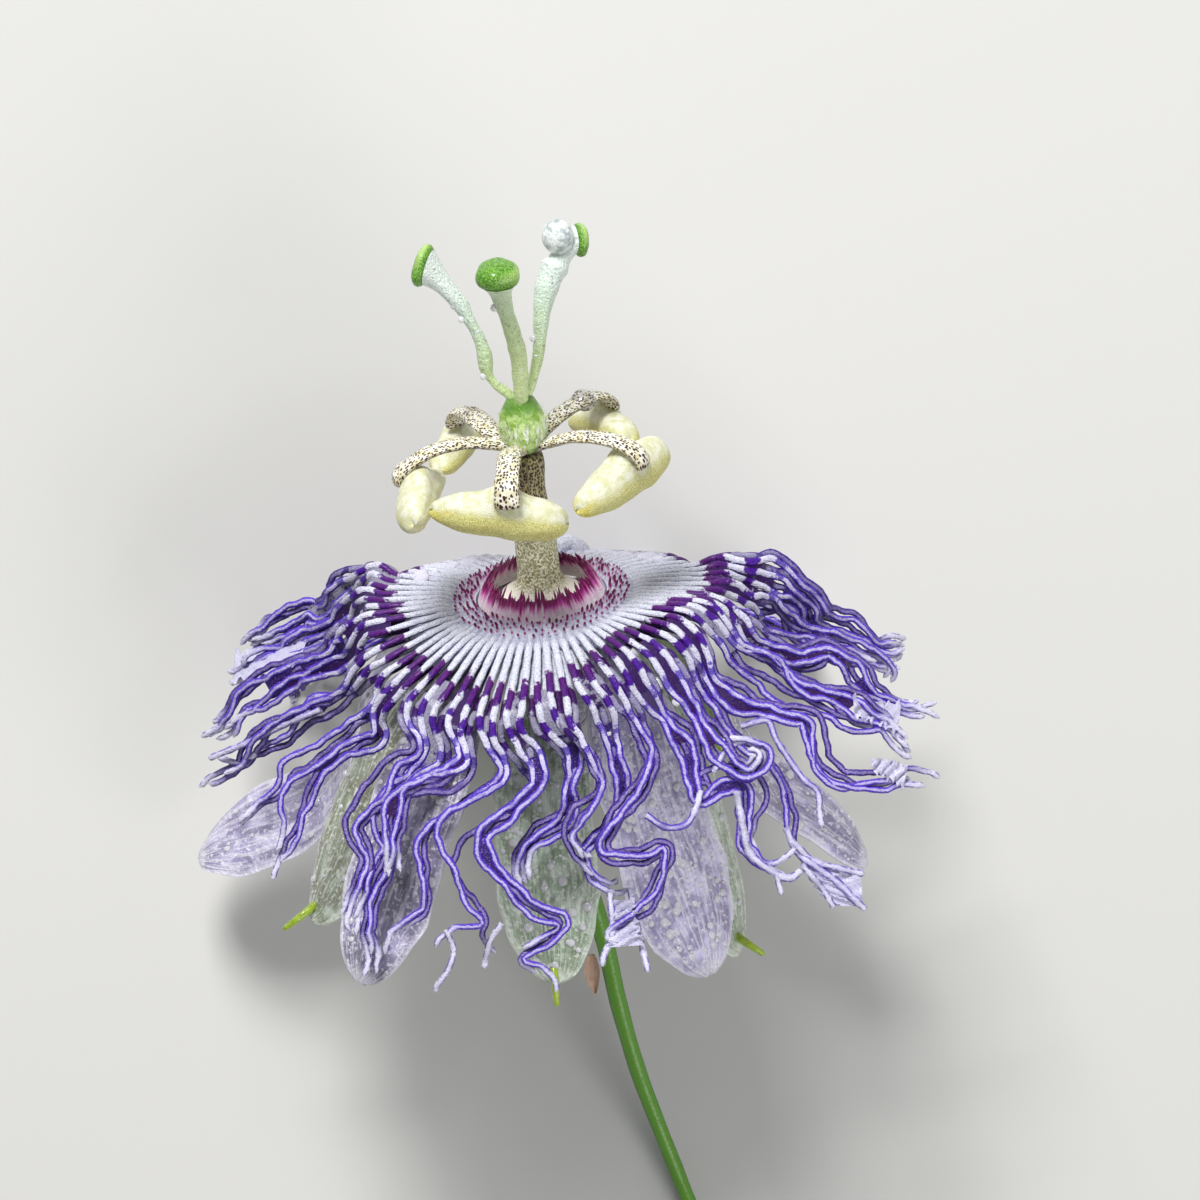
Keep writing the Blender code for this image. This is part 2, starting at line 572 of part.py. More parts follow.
def make_rear_tufts(flower, material):
    for number, (azimuth, sag) in enumerate(REAR_TUFTS, len(FRONT_TUFTS) + 1):
        points = [around(azimuth, RIM_RADIUS + 0.2, rim_height(azimuth) - DISC_THICKNESS / 2)]
        points += [around(azimuth, radius, height - sag) for radius, height in REAR_PROFILE]
        route = [rest_on_floor(point, REAR_HALF_THICKNESS) for point in smooth_route(points, 14)]
        widths = [read_curve(REAR_HALF_WIDTHS, i / 13) for i in range(14)]
        heights = [REAR_HALF_THICKNESS] * 14
        facing = [Vector((0.0, 0.0, 1.0)).lerp(FLOOR_NORMAL, min(1.0, i / 6)) for i in range(14)]
        add_object(f"corona_tuft_{number:02d}", tube(route, widths, heights, 12, facing), material, flower)


def make_stalk(flower):
    top = Vector((0.0, 0.0, CUP_BOTTOM - GAP))
    route = smooth_route([top] + [in_flower(point) for point in STALK], 26)
    radii = [STALK_TOP_RADIUS + (STALK_END_RADIUS - STALK_TOP_RADIUS) * i / 25 for i in range(26)]
    material = plain_material("stalk_green", (0.09, 0.27, 0.02), 0.5)
    add_object("peduncle", tube(route, radii, radii, 12), material, flower)


def make_bract(flower):
    foot = in_flower(BRACT_FOOT)
    tip = in_flower(BRACT_TIP)
    sideways = STAND_UP @ Vector((0.0, 0.25, 1.0)).normalized()
    rows = []
    for i, width in enumerate((0.5, 0.9, 1.0, 0.85, 0.3)):
        centre = foot.lerp(tip, i / 4)
        rows.append([centre + sideways * (BRACT_HALF_WIDTH * width * (j - 1)) for j in range(3)])
    material = plain_material("bract_tan", (0.50, 0.33, 0.26), 0.6)
    add_object("bract", sheet(rows, BRACT_THICKNESS), material, flower)


def main():
    for item in list(bpy.data.objects):
        bpy.data.objects.remove(item)
    flower = bpy.data.objects.new("flower_axis", None)
    bpy.context.collection.objects.link(flower)
    flower.location = FLOWER_CENTRE * MM
    flower.rotation_euler = (math.radians(AXIS_RISE - 90.0), 0.0, math.radians(AXIS_LEAN))

    make_stalk(flower)
    make_bract(flower)
    make_cup(flower)
    make_tepals(flower)
    make_disc(flower)
    make_operculum(flower)
    make_column(flower)
    make_ovary(flower)
    stamen_materials = (
        plain_material("filament_cream", (0.60, 0.54, 0.32), 0.5),
        plain_material("anther_yellow", (0.78, 0.73, 0.38), 0.45),
    )
    for number, (strap, anther) in enumerate(zip(STRAPS, ANTHERS), 1):
        make_stamen(number, strap, anther, flower, stamen_materials)
    style_material = plain_material("style_mint", (0.50, 0.66, 0.40), 0.45)
    for number, style in enumerate(STYLES, 1):
        make_style(number, *style, flower, style_material)
    thread_material = plain_material("thread_violet", (0.12, 0.05, 0.42), 0.45)
    make_front_tufts(flower, thread_material)
    make_rear_tufts(flower, thread_material)


main()
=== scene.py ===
"""Looks of the picked passion flower: every visible surface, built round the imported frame.

Shapes are worked out in millimetres in the flower's own frame: local x to the right, y to the
back and z up the column. They are then laid down and written in metres, where the frame has them.
"""

import math

import bpy
import numpy as np
from mathutils import Euler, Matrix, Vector


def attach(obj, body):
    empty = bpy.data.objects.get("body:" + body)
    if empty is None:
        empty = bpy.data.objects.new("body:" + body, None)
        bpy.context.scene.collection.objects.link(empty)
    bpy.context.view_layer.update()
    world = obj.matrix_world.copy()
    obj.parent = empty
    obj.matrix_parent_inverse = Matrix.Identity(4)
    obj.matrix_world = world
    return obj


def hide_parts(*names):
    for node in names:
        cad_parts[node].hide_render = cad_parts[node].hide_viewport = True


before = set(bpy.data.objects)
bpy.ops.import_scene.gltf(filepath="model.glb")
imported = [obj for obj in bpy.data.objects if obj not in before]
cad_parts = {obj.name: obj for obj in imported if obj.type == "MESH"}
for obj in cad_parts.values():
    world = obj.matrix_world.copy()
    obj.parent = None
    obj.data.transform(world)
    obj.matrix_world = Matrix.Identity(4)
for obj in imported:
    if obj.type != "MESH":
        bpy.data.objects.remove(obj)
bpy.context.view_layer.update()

MM = 0.001

# How the flower lies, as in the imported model: its corona's centre in millimetres of the frame, how many
# degrees its axis rises from the floor, and how far it leans aside. The camera looks straight down.
FLOWER_CENTRE = np.array((-2.6, 15.4, 28.0))
AXIS_RISE = 26.0
AXIS_LEAN = 6.0
LAY_DOWN = np.array(Euler((math.radians(AXIS_RISE - 90.0), 0.0, math.radians(AXIS_LEAN))).to_matrix())
FLOOR = -FLOWER_CENTRE[2]
VIEWER = np.array((0.0, 0.0, 1.0)) @ LAY_DOWN

# Column, ovary, and the usual size of a stamen.
COLUMN_TOP = 14.0
COLUMN_RADIUS = 1.8
OVARY_BASE = 14.3
OVARY_HEIGHT = 5.2
OVARY_HAIRS = 420
STAMEN_HALF_WIDTH = 1.1
STAMEN_HALF_THICKNESS = 0.45
ANTHER_HALF_LENGTH = 6.1
ANTHER_HALF_WIDTH = 1.95
ANTHER_HALF_DEPTH = 1.6

# Stamens. Each strap is its azimuth, its reach, how far its root is turned from that azimuth, and
# how far its middle rises and its end sinks from the usual arch. Each anther is its middle and the
# way that it lies, as the flower lies.
STRAPS = (
    (-11, 11.0, -12, 0.5, 0.0),
    (64, 11.4, 0, 0.1, 0.0),
    (136, 11.4, 0, -0.2, 0.0),
    (-147, 11.1, 30, -0.5, 0.7),
    (-80, 11.8, 0, 0.0, 0.5),
)
ANTHERS = (
    ((-3.5, 6.75, 13.2), (0.99, -0.10, -0.05)),
    ((7.45, 10.3, 8.7), (0.64, 0.48, -0.60)),
    ((5.65, 14.9, -2.75), (0.42, -0.16, 0.89)),
    ((-7.45, 13.4, -4.8), (-0.30, -0.35, 0.885)),
    ((-10.65, 8.35, 7.4), (-0.15, -0.35, 0.92)),
)

# Each style is its bends, its stigma's middle and the way that faces, as the flower lies.
STYLES = (
    (((-2.85, 17.65, 8.4), (-3.97, 18.5, 8.8), (-4.75, 19.6, 9.1), (-5.0, 21.2, 9.8), (-5.5, 22.7, 10.4),
        (-6.3, 24.15, 11.0), (-7.0, 25.4, 11.4), (-8.0, 27.0, 12.0)), (-10.05, 28.85, 12.5),
        (-0.93, 0.30, -0.2)),
    (((-1.75, 18.0, 9.9), (-1.9, 20.7, 11.6), (-2.4, 22.8, 13.2), (-3.0, 24.7, 14.7), (-3.4, 26.0, 15.8)),
        (-3.7, 27.5, 17.0), (-0.05, 0.83, 0.55)),
    (((-0.95, 18.1, 8.2), (-0.3, 20.6, 8.7), (-0.05, 22.4, 9.1), (0.05, 24.0, 9.4), (0.27, 25.8, 9.7),
        (0.75, 27.7, 9.9), (1.45, 29.3, 9.9)), (3.2, 31.4, 9.6), (0.95, 0.10, -0.3)),
)

# Corona: the fused plate, its ribs, and the edge where the threads leave it. What changes round
# the flower is listed at every 30 degrees, from the front round by the right.
DISC_INNER = 5.95
RIM_RADIUS = 13.0
RIM_HEIGHTS = (-2.8, -0.6, 0.2, -0.7, -1.2, -2.2, -2.8, -1.5, -0.3, -0.3, -2.2, -3.1)
PLATE_RADII = (9.7, 10.9, 12.0, 12.9, 13.0, 12.5, 12.5, 12.5, 13.0, 12.6, 11.5, 10.4)
# How far past the rim the threads' bands of colour are moved.
BAND_STARTS = (-0.3, -1.2, -0.6, 1.4, 2.2, 2.0, 2.0, 2.0, 1.5, 0.3, 0.0, 0.0)
RIBS = 72
RIB_ROOT = 7.4
THREAD_SPACING = 0.52
THREAD_HALF_WIDTH = 0.33
THREAD_HALF_HEIGHT = 0.25

# The tufts that hang in front and at the sides: the azimuth that sets how low the tip hangs, the lift
# off the others, and the route as seen from above, in x and y from the corona's centre.
FRONT_TUFTS = (
    (-118, 0.8, ((-14.0, 1.9), (-16.1, 1.1), (-17.6, 0.1), (-19.0, -1.3), (-20.5, -2.1), (-22.0, -1.9),
        (-25.1, -3.6), (-28.7, -5.2))),
    (-109, -0.8, ((-14.7, -0.2), (-17.0, -1.8), (-19.0, -3.2), (-21.4, -4.6), (-23.2, -5.7), (-25.5, -6.1),
        (-27.8, -7.6), (-30.5, -8.2))),
    (-100, 0.8, ((-15.2, -2.7), (-17.6, -5.0), (-19.7, -6.3), (-22.6, -7.4), (-25.1, -8.7), (-27.3, -10.1),
        (-29.3, -12.7), (-31.4, -13.1))),
    (-91, 0.0, ((-15.2, -5.9), (-17.6, -8.4), (-20.6, -10.1), (-24.8, -12.1), (-26.2, -14.0),
        (-27.1, -15.4), (-29.3, -16.8), (-31.6, -17.8))),
    (-83, -2.6, ((-14.9, -7.2), (-17.2, -9.5), (-19.7, -11.0), (-21.7, -12.2), (-23.1, -13.5),
        (-25.1, -14.2), (-27.1, -15.4), (-30.2, -15.1))),
    (-75, 0.8, ((-13.4, -6.8), (-14.7, -10.2), (-17.4, -12.3), (-20.8, -14.2), (-22.9, -15.8),
        (-23.6, -17.6), (-26.0, -19.8), (-28.4, -22.2))),
    (-64, -0.8, ((-12.5, -8.8), (-14.4, -10.8), (-14.7, -13.1), (-17.6, -14.4), (-20.3, -16.7),
        (-21.4, -19.2), (-22.4, -22.1), (-25.1, -25.9))),
    (-52, 2.0, ((-10.9, -8.8), (-11.6, -10.8), (-10.8, -14.0), (-12.9, -16.0), (-13.8, -18.0),
        (-16.3, -20.7), (-15.6, -23.7), (-16.1, -26.4), (-17.2, -29.1), (-16.6, -31.8), (-17.5, -33.6))),
    (-44, 0.4, ((-8.9, -8.8), (-9.7, -11.1), (-9.1, -14.4), (-11.3, -16.5), (-13.4, -18.3), (-13.9, -21.0),
        (-13.5, -23.2), (-14.8, -26.4), (-15.6, -30.0), (-15.1, -32.2), (-16.1, -34.5))),
    (-34, 2.0, ((-6.4, -9.0), (-7.1, -12.0), (-6.5, -14.9), (-8.2, -16.6), (-11.8, -17.7), (-13.0, -20.1),
        (-13.1, -23.2), (-13.2, -25.7))),
    (-25, 0.4, ((-4.4, -9.0), (-4.8, -11.3), (-3.9, -14.7), (-4.1, -16.6), (-7.7, -19.0), (-10.2, -21.4),
        (-10.5, -24.8), (-10.2, -28.2), (-13.4, -30.6), (-14.0, -33.6))),
    (-18, 0.8, ((-3.4, -9.7), (-4.0, -12.4), (-3.1, -15.1), (-3.7, -17.4), (-6.8, -18.7), (-8.9, -20.3),
        (-8.8, -22.5), (-7.1, -26.1), (-6.2, -28.2), (-5.1, -29.5), (-7.7, -29.9), (-9.3, -32.2),
        (-7.7, -34.5), (-8.0, -35.6))),
    (-12, -0.8, ((-3.0, -9.7), (-3.4, -12.9), (-1.9, -15.6), (-1.5, -17.6), (-3.7, -20.1), (-6.8, -21.7),
        (-7.6, -24.1), (-6.8, -26.6), (-4.9, -28.8), (-5.0, -30.9), (-3.5, -32.7), (-4.1, -33.6))),
    (-5, 0.8, ((-2.4, -8.8), (-2.5, -11.1), (-1.0, -13.8), (-0.3, -15.6), (-0.5, -17.4), (-2.8, -19.8),
        (-4.8, -21.1), (-5.0, -22.8), (-3.0, -25.9), (-0.5, -28.2), (2.0, -29.3), (0.4, -31.1),
        (-1.7, -32.7), (0.4, -34.5), (0.5, -35.8))),
    (3, -0.8, ((0.4, -8.8), (0.7, -10.8), (2.3, -13.3), (2.8, -15.3), (2.4, -17.8), (2.3, -19.8),
        (-0.5, -22.1), (-1.8, -24.1), (-1.4, -26.4), (-0.5, -27.9))),
    (8, 0.8, ((2.6, -8.8), (2.3, -11.1), (3.8, -13.1), (4.8, -15.3), (5.0, -17.6), (3.0, -20.1),
        (2.6, -22.1), (4.4, -24.1), (5.9, -24.6))),
    (15, -0.8, ((4.4, -7.9), (5.9, -10.4), (6.5, -14.0), (7.2, -16.7), (6.9, -19.0), (3.8, -22.9),
        (4.6, -25.3), (6.6, -26.5), (8.4, -25.7))),
    (23, 0.8, ((5.9, -6.6), (7.3, -9.5), (9.1, -12.4), (9.8, -14.9), (8.9, -17.4), (5.8, -21.4),
        (5.9, -23.2), (8.9, -23.5), (11.1, -22.8), (10.7, -25.5), (8.9, -28.2), (5.9, -30.4),
        (8.9, -33.3))),
    (31, -0.8, ((7.8, -7.2), (10.3, -10.3), (13.0, -13.5), (13.7, -16.5), (14.3, -18.3), (16.3, -17.1),
        (18.5, -17.5), (18.4, -20.1), (18.4, -22.5), (20.2, -24.3), (22.9, -24.4))),
    (41, 0.8, ((10.0, -5.7), (12.7, -9.0), (14.9, -12.2), (16.3, -14.4), (18.4, -16.0), (19.7, -14.4),
        (17.5, -13.5), (15.9, -14.4))),
    (51, -0.8, ((11.4, -4.3), (14.0, -7.7), (16.3, -11.3), (17.9, -13.5), (20.0, -14.9), (21.8, -17.4),
        (22.3, -20.1), (22.7, -22.8), (24.4, -24.3), (27.4, -24.5))),
    (61, 0.8, ((13.4, -5.2), (15.4, -7.9), (18.4, -10.0), (21.5, -10.8), (23.8, -11.2), (24.6, -13.1),
        (25.3, -15.3), (27.4, -16.7), (30.5, -16.9), (32.8, -16.5), (35.0, -16.9), (37.0, -18.0))),
    (71, -0.8, ((14.6, -3.0), (17.5, -5.2), (20.6, -6.8), (22.9, -8.6), (26.0, -9.7), (28.9, -11.1),
        (31.0, -12.0), (32.8, -13.8), (34.1, -14.4))),
    (84, 0.8, ((15.9, -1.8), (18.1, -3.2), (20.2, -4.8), (23.3, -5.7), (26.0, -5.2), (28.3, -6.8),
        (29.8, -8.8), (32.8, -10.4), (36.2, -10.5))),
    (97, -0.8, ((15.7, 0.6), (18.4, -0.5), (20.6, -0.9), (21.7, -2.1), (23.8, -3.4), (26.9, -4.3),
        (29.6, -5.4), (31.7, -6.8), (31.4, -8.6))),
    (110, 0.8, ((15.7, 2.2), (18.4, 1.5), (22.0, 0.4), (24.0, -1.2), (24.9, -3.0), (27.8, -4.3),
        (30.5, -5.4), (32.8, -5.9), (35.0, -5.2))),
)

# The broad tufts behind: azimuth, and how far each sags below the line of radius and height that
# they share; and their half widths along the way. White knobs stand on the plate's edge there.
REAR_TUFTS = ((133, 1.8), (164, 0.0), (196, 0.0), (227, 1.8))
REAR_PROFILE = ((16.0, -4.9), (20.0, -7.6), (24.0, -10.2), (28.0, -12.8), (31.5, -15.4), (34.0, -18.0))
REAR_HALF_WIDTHS = (2.5, 2.9, 3.3, 3.6, 3.6, 3.0, 1.2)
REAR_KNOBS = 46

# Loose strands and curls that stray from the tufts, and skins stretched between two lines: how
# pale, a strand's half width, and the way, in x and y from the corona's centre. They lie on the
# tufts beneath them.
LOOSE_STRANDS = (
    (0.6, 0.30, ((-19.9, -10.6), (-22.6, -11.7), (-25.1, -12.9), (-27.5, -14.0), (-30.2, -15.1))),
    (0.0, 0.32, ((-18.1, -4.3), (-20.8, -5.2), (-22.6, -5.7), (-24.4, -6.3))),
    (0.8, 0.36, ((17.5, -17.8), (18.1, -21.4), (18.6, -23.2), (20.2, -24.6), (22.0, -25.5), (23.3, -24.8))),
    (0.9, 0.25, ((21.0, -25.2), (21.2, -25.9), (21.5, -27.0))),
    (0.4, 0.30, ((17.9, -12.0), (20.2, -11.5), (21.1, -13.3), (23.3, -16.5), (24.7, -17.8), (24.9, -19.6),
        (25.1, -21.0))),
    (0.1, 0.32, ((9.4, -19.8), (11.2, -20.9), (13.0, -20.6), (13.9, -19.0), (14.3, -17.6))),
    (0.5, 0.30, ((15.4, -16.0), (16.6, -14.0), (18.4, -13.3), (20.0, -14.2), (19.5, -15.8), (17.9, -16.2),
        (17.0, -15.3), (18.1, -14.7))),
    (1.0, 0.26, ((-8.4, -30.0), (-7.7, -31.8), (-8.2, -33.6), (-9.1, -34.9), (-9.4, -35.6))),
    (1.0, 0.26, ((-3.4, -29.5), (-4.4, -30.9), (-4.8, -32.2), (-5.0, -33.6))),
    (0.9, 0.30, ((6.2, -26.8), (6.4, -30.4), (5.7, -32.2), (5.5, -33.3))),
    (0.9, 0.30, ((8.0, -26.4), (8.9, -30.9), (9.6, -33.8))),
    (0.6, 0.34, ((21.9, -21.0), (22.9, -23.2), (24.7, -24.6), (26.5, -25.9), (28.3, -27.7), (29.1, -28.4))),
    (0.8, 0.30, ((23.3, -24.3), (25.1, -26.4), (26.2, -28.2))),
    (0.7, 0.30, ((22.6, -22.4), (24.4, -24.0), (26.9, -24.7), (28.9, -25.2))),
)
SKINS = (
    (((6.1, -27.4), (6.4, -29.8), (6.0, -31.6)), ((8.2, -27.4), (8.7, -29.6), (9.1, -31.4))),
    (((22.7, -22.6), (25.2, -24.1), (28.6, -25.1)), ((23.2, -24.0), (25.8, -25.8), (28.8, -28.1))),
    (((23.2, -24.0), (25.8, -25.8), (28.8, -28.1)), ((23.3, -24.6), (24.8, -26.7), (26.2, -28.0))),
    (((28.0, -9.2), (30.5, -9.9), (32.6, -10.0)), ((28.2, -11.2), (30.6, -12.0), (32.0, -12.6))),
    (((29.4, -14.9), (31.2, -15.0), (32.8, -15.6)), ((29.8, -16.2), (31.2, -16.7), (32.4, -17.6))),
    (((-21.5, -4.4), (-25.5, -5.2), (-28.5, -5.4)), ((-22.0, -6.4), (-25.5, -7.6), (-28.5, -8.2))),
)

# Water on the crown, in x and y, with each drop's half width; and a thread that loops up behind.
CROWN_DROPS = ((8.5, -5.3, 0.45), (10.5, -8.1, 0.6), (15.5, 0.4, 0.7), (-11.6, -8.2, 0.5), (12.1, -9.8, 0.4),
               (-3.0, -10.5, 0.35), (6.0, -12.5, 0.4), (14.5, -6.0, 0.45))
REAR_LOOP = ((1.4, 2.8, -11.6), (1.7, 4.0, -11.3), (2.5, 4.6, -11.1), (3.3, 4.1, -11.2), (3.8, 2.9, -11.9))

# Inside the corona: the pegs' rows, each a radius and a height; the collar's wall, a line of radius,
# height and how dark it is; and the layers of its fringe, how far out each is and how many threads.
PEG_ROWS = ((6.15, 1.05), (6.65, 0.95), (7.15, 0.85), (7.7, 0.70))
FRINGE_WALL = (
    (5.65, -0.9, 0.0), (5.6, 0.1, 0.15), (5.2, 0.8, 0.5), (4.75, 1.35, 0.8), (4.55, 1.3, 0.8),
    (4.95, 0.7, 0.5), (5.3, 0.0, 0.2), (5.35, -0.9, 0.0), (5.65, -0.9, 0.0),
)
FRINGE_LAYERS = ((0.06, 150), (-0.30, 130))

# Tepals: azimuth, the radius and height of the tip, the twist of the blade about its length,
# its half width, how many degrees it drifts sideways on its way, and how far its middle sags.
PETALS = (
    (-106, 35.5, -28.0, 32.0, 5.0, 0.0, 3.6),
    (-46, 27.5, -27.5, 8.0, 5.1, 0.0, 0.0),
    (38, 17.9, -33.4, 0.0, 5.8, 2.0, 0.4),
    (102, 27.0, -29.9, -30.0, 4.6, -14.0, 2.5),
    (180, 25.0, -27.0, 0.0, 4.8, 0.0, 0.0),
)
SEPALS = (
    (-78, 24.5, -27.8, 26.0, 4.6, 0.0, 0.0),
    (-8, 17.6, -30.5, 0.0, 4.6, 0.0, 0.0),
    (72, 16.2, -34.8, -12.0, 4.5, -8.0, 0.0),
    (144, 24.0, -26.0, 0.0, 4.5, 0.0, 0.0),
    (-144, 24.0, -26.0, 0.0, 4.5, 0.0, 0.0),
)
TEPAL_ROOT_RADIUS = 7.6
PETAL_ROOT_HEIGHT = -2.6
SEPAL_ROOT_HEIGHT = -3.7

# How dull each one is in patches, and how many water beads it may have.
PETAL_LOOKS = ((0.3, 24), (0.9, 60), (0.1, 150), (0.6, 60), (0.3, 10))
SEPAL_LOOKS = ((0.9, 40), (0.3, 80), (0.3, 20), (0.3, 10), (0.3, 10))

# Each sepal's awn, from its tip, in x, y and z as the flower lies.
AWNS = ((-3.0, -2.3, 0.2), (0.3, -3.4, 0.0), (2.6, -1.7, 0.2), (1.6, -2.1, 0.2), (-1.5, -2.2, 0.2))

# The stalk, from the cup down to its cut end, and the bract on it.
STALK = (
    (1.6, -15.0, -7.3), (3.4, -24.0, -11.6), (5.7, -32.0, -15.6), (7.0, -37.9, -18.5),
    (8.8, -44.3, -21.5), (10.9, -50.0, -24.2), (12.7, -54.6, -25.9), (16.5, -64.0, -27.35),
)
STALK_SIDES = 22
BRACT_FOOT = (4.55, -33.4, -16.6)
BRACT_TIP = (5.0, -37.0, -18.4)


# ---------------------------------------------------------------- geometry helpers


def around(azimuth, radius, height):
    """Points in the flower's own frame; azimuth 0 is the front, positive to the right."""
    turn = np.radians(azimuth)
    return np.stack(np.broadcast_arrays(radius * np.sin(turn), -radius * np.cos(turn), height), axis=-1)


def in_flower(points):
    """Points given as the flower lies, from the corona's centre, in the flower's frame."""
    return np.asarray(points, float) @ LAY_DOWN


def as_it_lies(points):
    """The way back: points of the flower's frame as the flower lies, from the corona's centre."""
    return np.asarray(points, float) @ LAY_DOWN.T


def rest_on_floor(points, clearance):
    """Bend points of the flower's frame up to the surface it lies on."""
    lying = as_it_lies(points)
    softness = 2.0
    depth = lying[..., 2] - FLOOR - clearance
    bent = np.where(depth < -softness, 0.0, (depth + softness) ** 2 / (4.0 * softness))
    lying[..., 2] = FLOOR + clearance + np.where(depth < softness, bent, depth)
    return in_flower(lying)


def unit(vectors):
    return vectors / np.maximum(np.linalg.norm(vectors, axis=-1, keepdims=True), 1e-9)


def evenly(count):
    """Shares from 0 to 1, evenly spaced."""
    return np.linspace(0.0, 1.0, count)


def circle(count):
    """Turns round a circle, evenly spaced, in radians."""
    return 2.0 * math.pi * np.arange(count) / count


def ease(value, low, high):
    """A smooth step from 0 at low to 1 at high."""
    share = np.clip((value - low) / (high - low), 0.0, 1.0)
    return share * share * (3.0 - 2.0 * share)


def read_round(values, azimuth):
    """A value listed at every 30 degrees, read smoothly at any azimuth."""
    place = np.mod(azimuth, 360.0) / 30.0
    before = np.floor(place).astype(int)
    blend = ease(place - before, 0.0, 1.0)
    listed = np.array(values)
    return listed[before % 12] * (1.0 - blend) + listed[(before + 1) % 12] * blend


def walked(route):
    """The way walked along a route, up to each of its points."""
    return np.concatenate([[0.0], np.cumsum(np.linalg.norm(np.diff(route, axis=0), axis=1))])


def even_route(points, count):
    """Evenly spaced points on a smooth curve through the given ones."""
    points = np.asarray(points, float)
    padded = np.vstack([2 * points[0] - points[1], points, 2 * points[-1] - points[-2]])
    t = np.linspace(0.0, 1.0, 12, endpoint=False)[:, None]
    bends = []
    for p0, p1, p2, p3 in zip(padded, padded[1:], padded[2:], padded[3:]):
        cubic = (3 * p1 - p0 - 3 * p2 + p3) * t**3
        bends.append(0.5 * (2 * p1 + (p2 - p0) * t + (2 * p0 - 5 * p1 + 4 * p2 - p3) * t**2 + cubic))
    fine = np.vstack([*bends, points[-1:]])
    lengths = walked(fine)
    wanted = np.linspace(0.0, lengths[-1], count)
    return np.stack([np.interp(wanted, lengths, fine[:, k]) for k in range(points.shape[1])], axis=-1)


def route_length(route):
    return np.linalg.norm(np.diff(route, axis=0), axis=1).sum()


def distances(route):
    """How far along an even route each of its points is."""
    return np.linspace(0.0, route_length(route), len(route))


def read_curve(values, share):
    """A value between evenly listed ones, at shares from 0 to 1 of the way along them."""
    return np.interp(share, evenly(len(values)), values)


def wander(distance, wavelength, rng):
    """A smooth random wave between about -1 and 1."""
    first, second = rng.uniform(0.0, 2.0 * math.pi, 2)
    turn = 2.0 * math.pi * distance / wavelength
    return (np.sin(turn + first) + 0.6 * np.sin(turn / 0.62 + second)) / 1.6


def directions(route, facing):
    """Unit directions along, sideways and outward at each point of a route."""
    along = unit(np.gradient(route, axis=0))
    wanted = np.cross(along, facing)
    sides = [unit(wanted[0])]
    for ahead, turn in zip(along[1:], wanted[1:]):
        carried = sides[-1] - ahead * sides[-1].dot(ahead)
        sides.append(unit(0.5 * carried + turn))
    side = np.array(sides)
    return along, side, np.cross(side, along)


def spokes(side, up, count):
    """Ways from a ring's middle to its points, as columns of x, y and z."""
    turn = circle(count)[:, None]
    return side * np.cos(turn) + up * np.sin(turn)


def folded(upper, lower):
    """Rows of a sheet's upper side, carried on round its lower side."""
    return np.concatenate([upper, lower[:, ::-1]], axis=1)


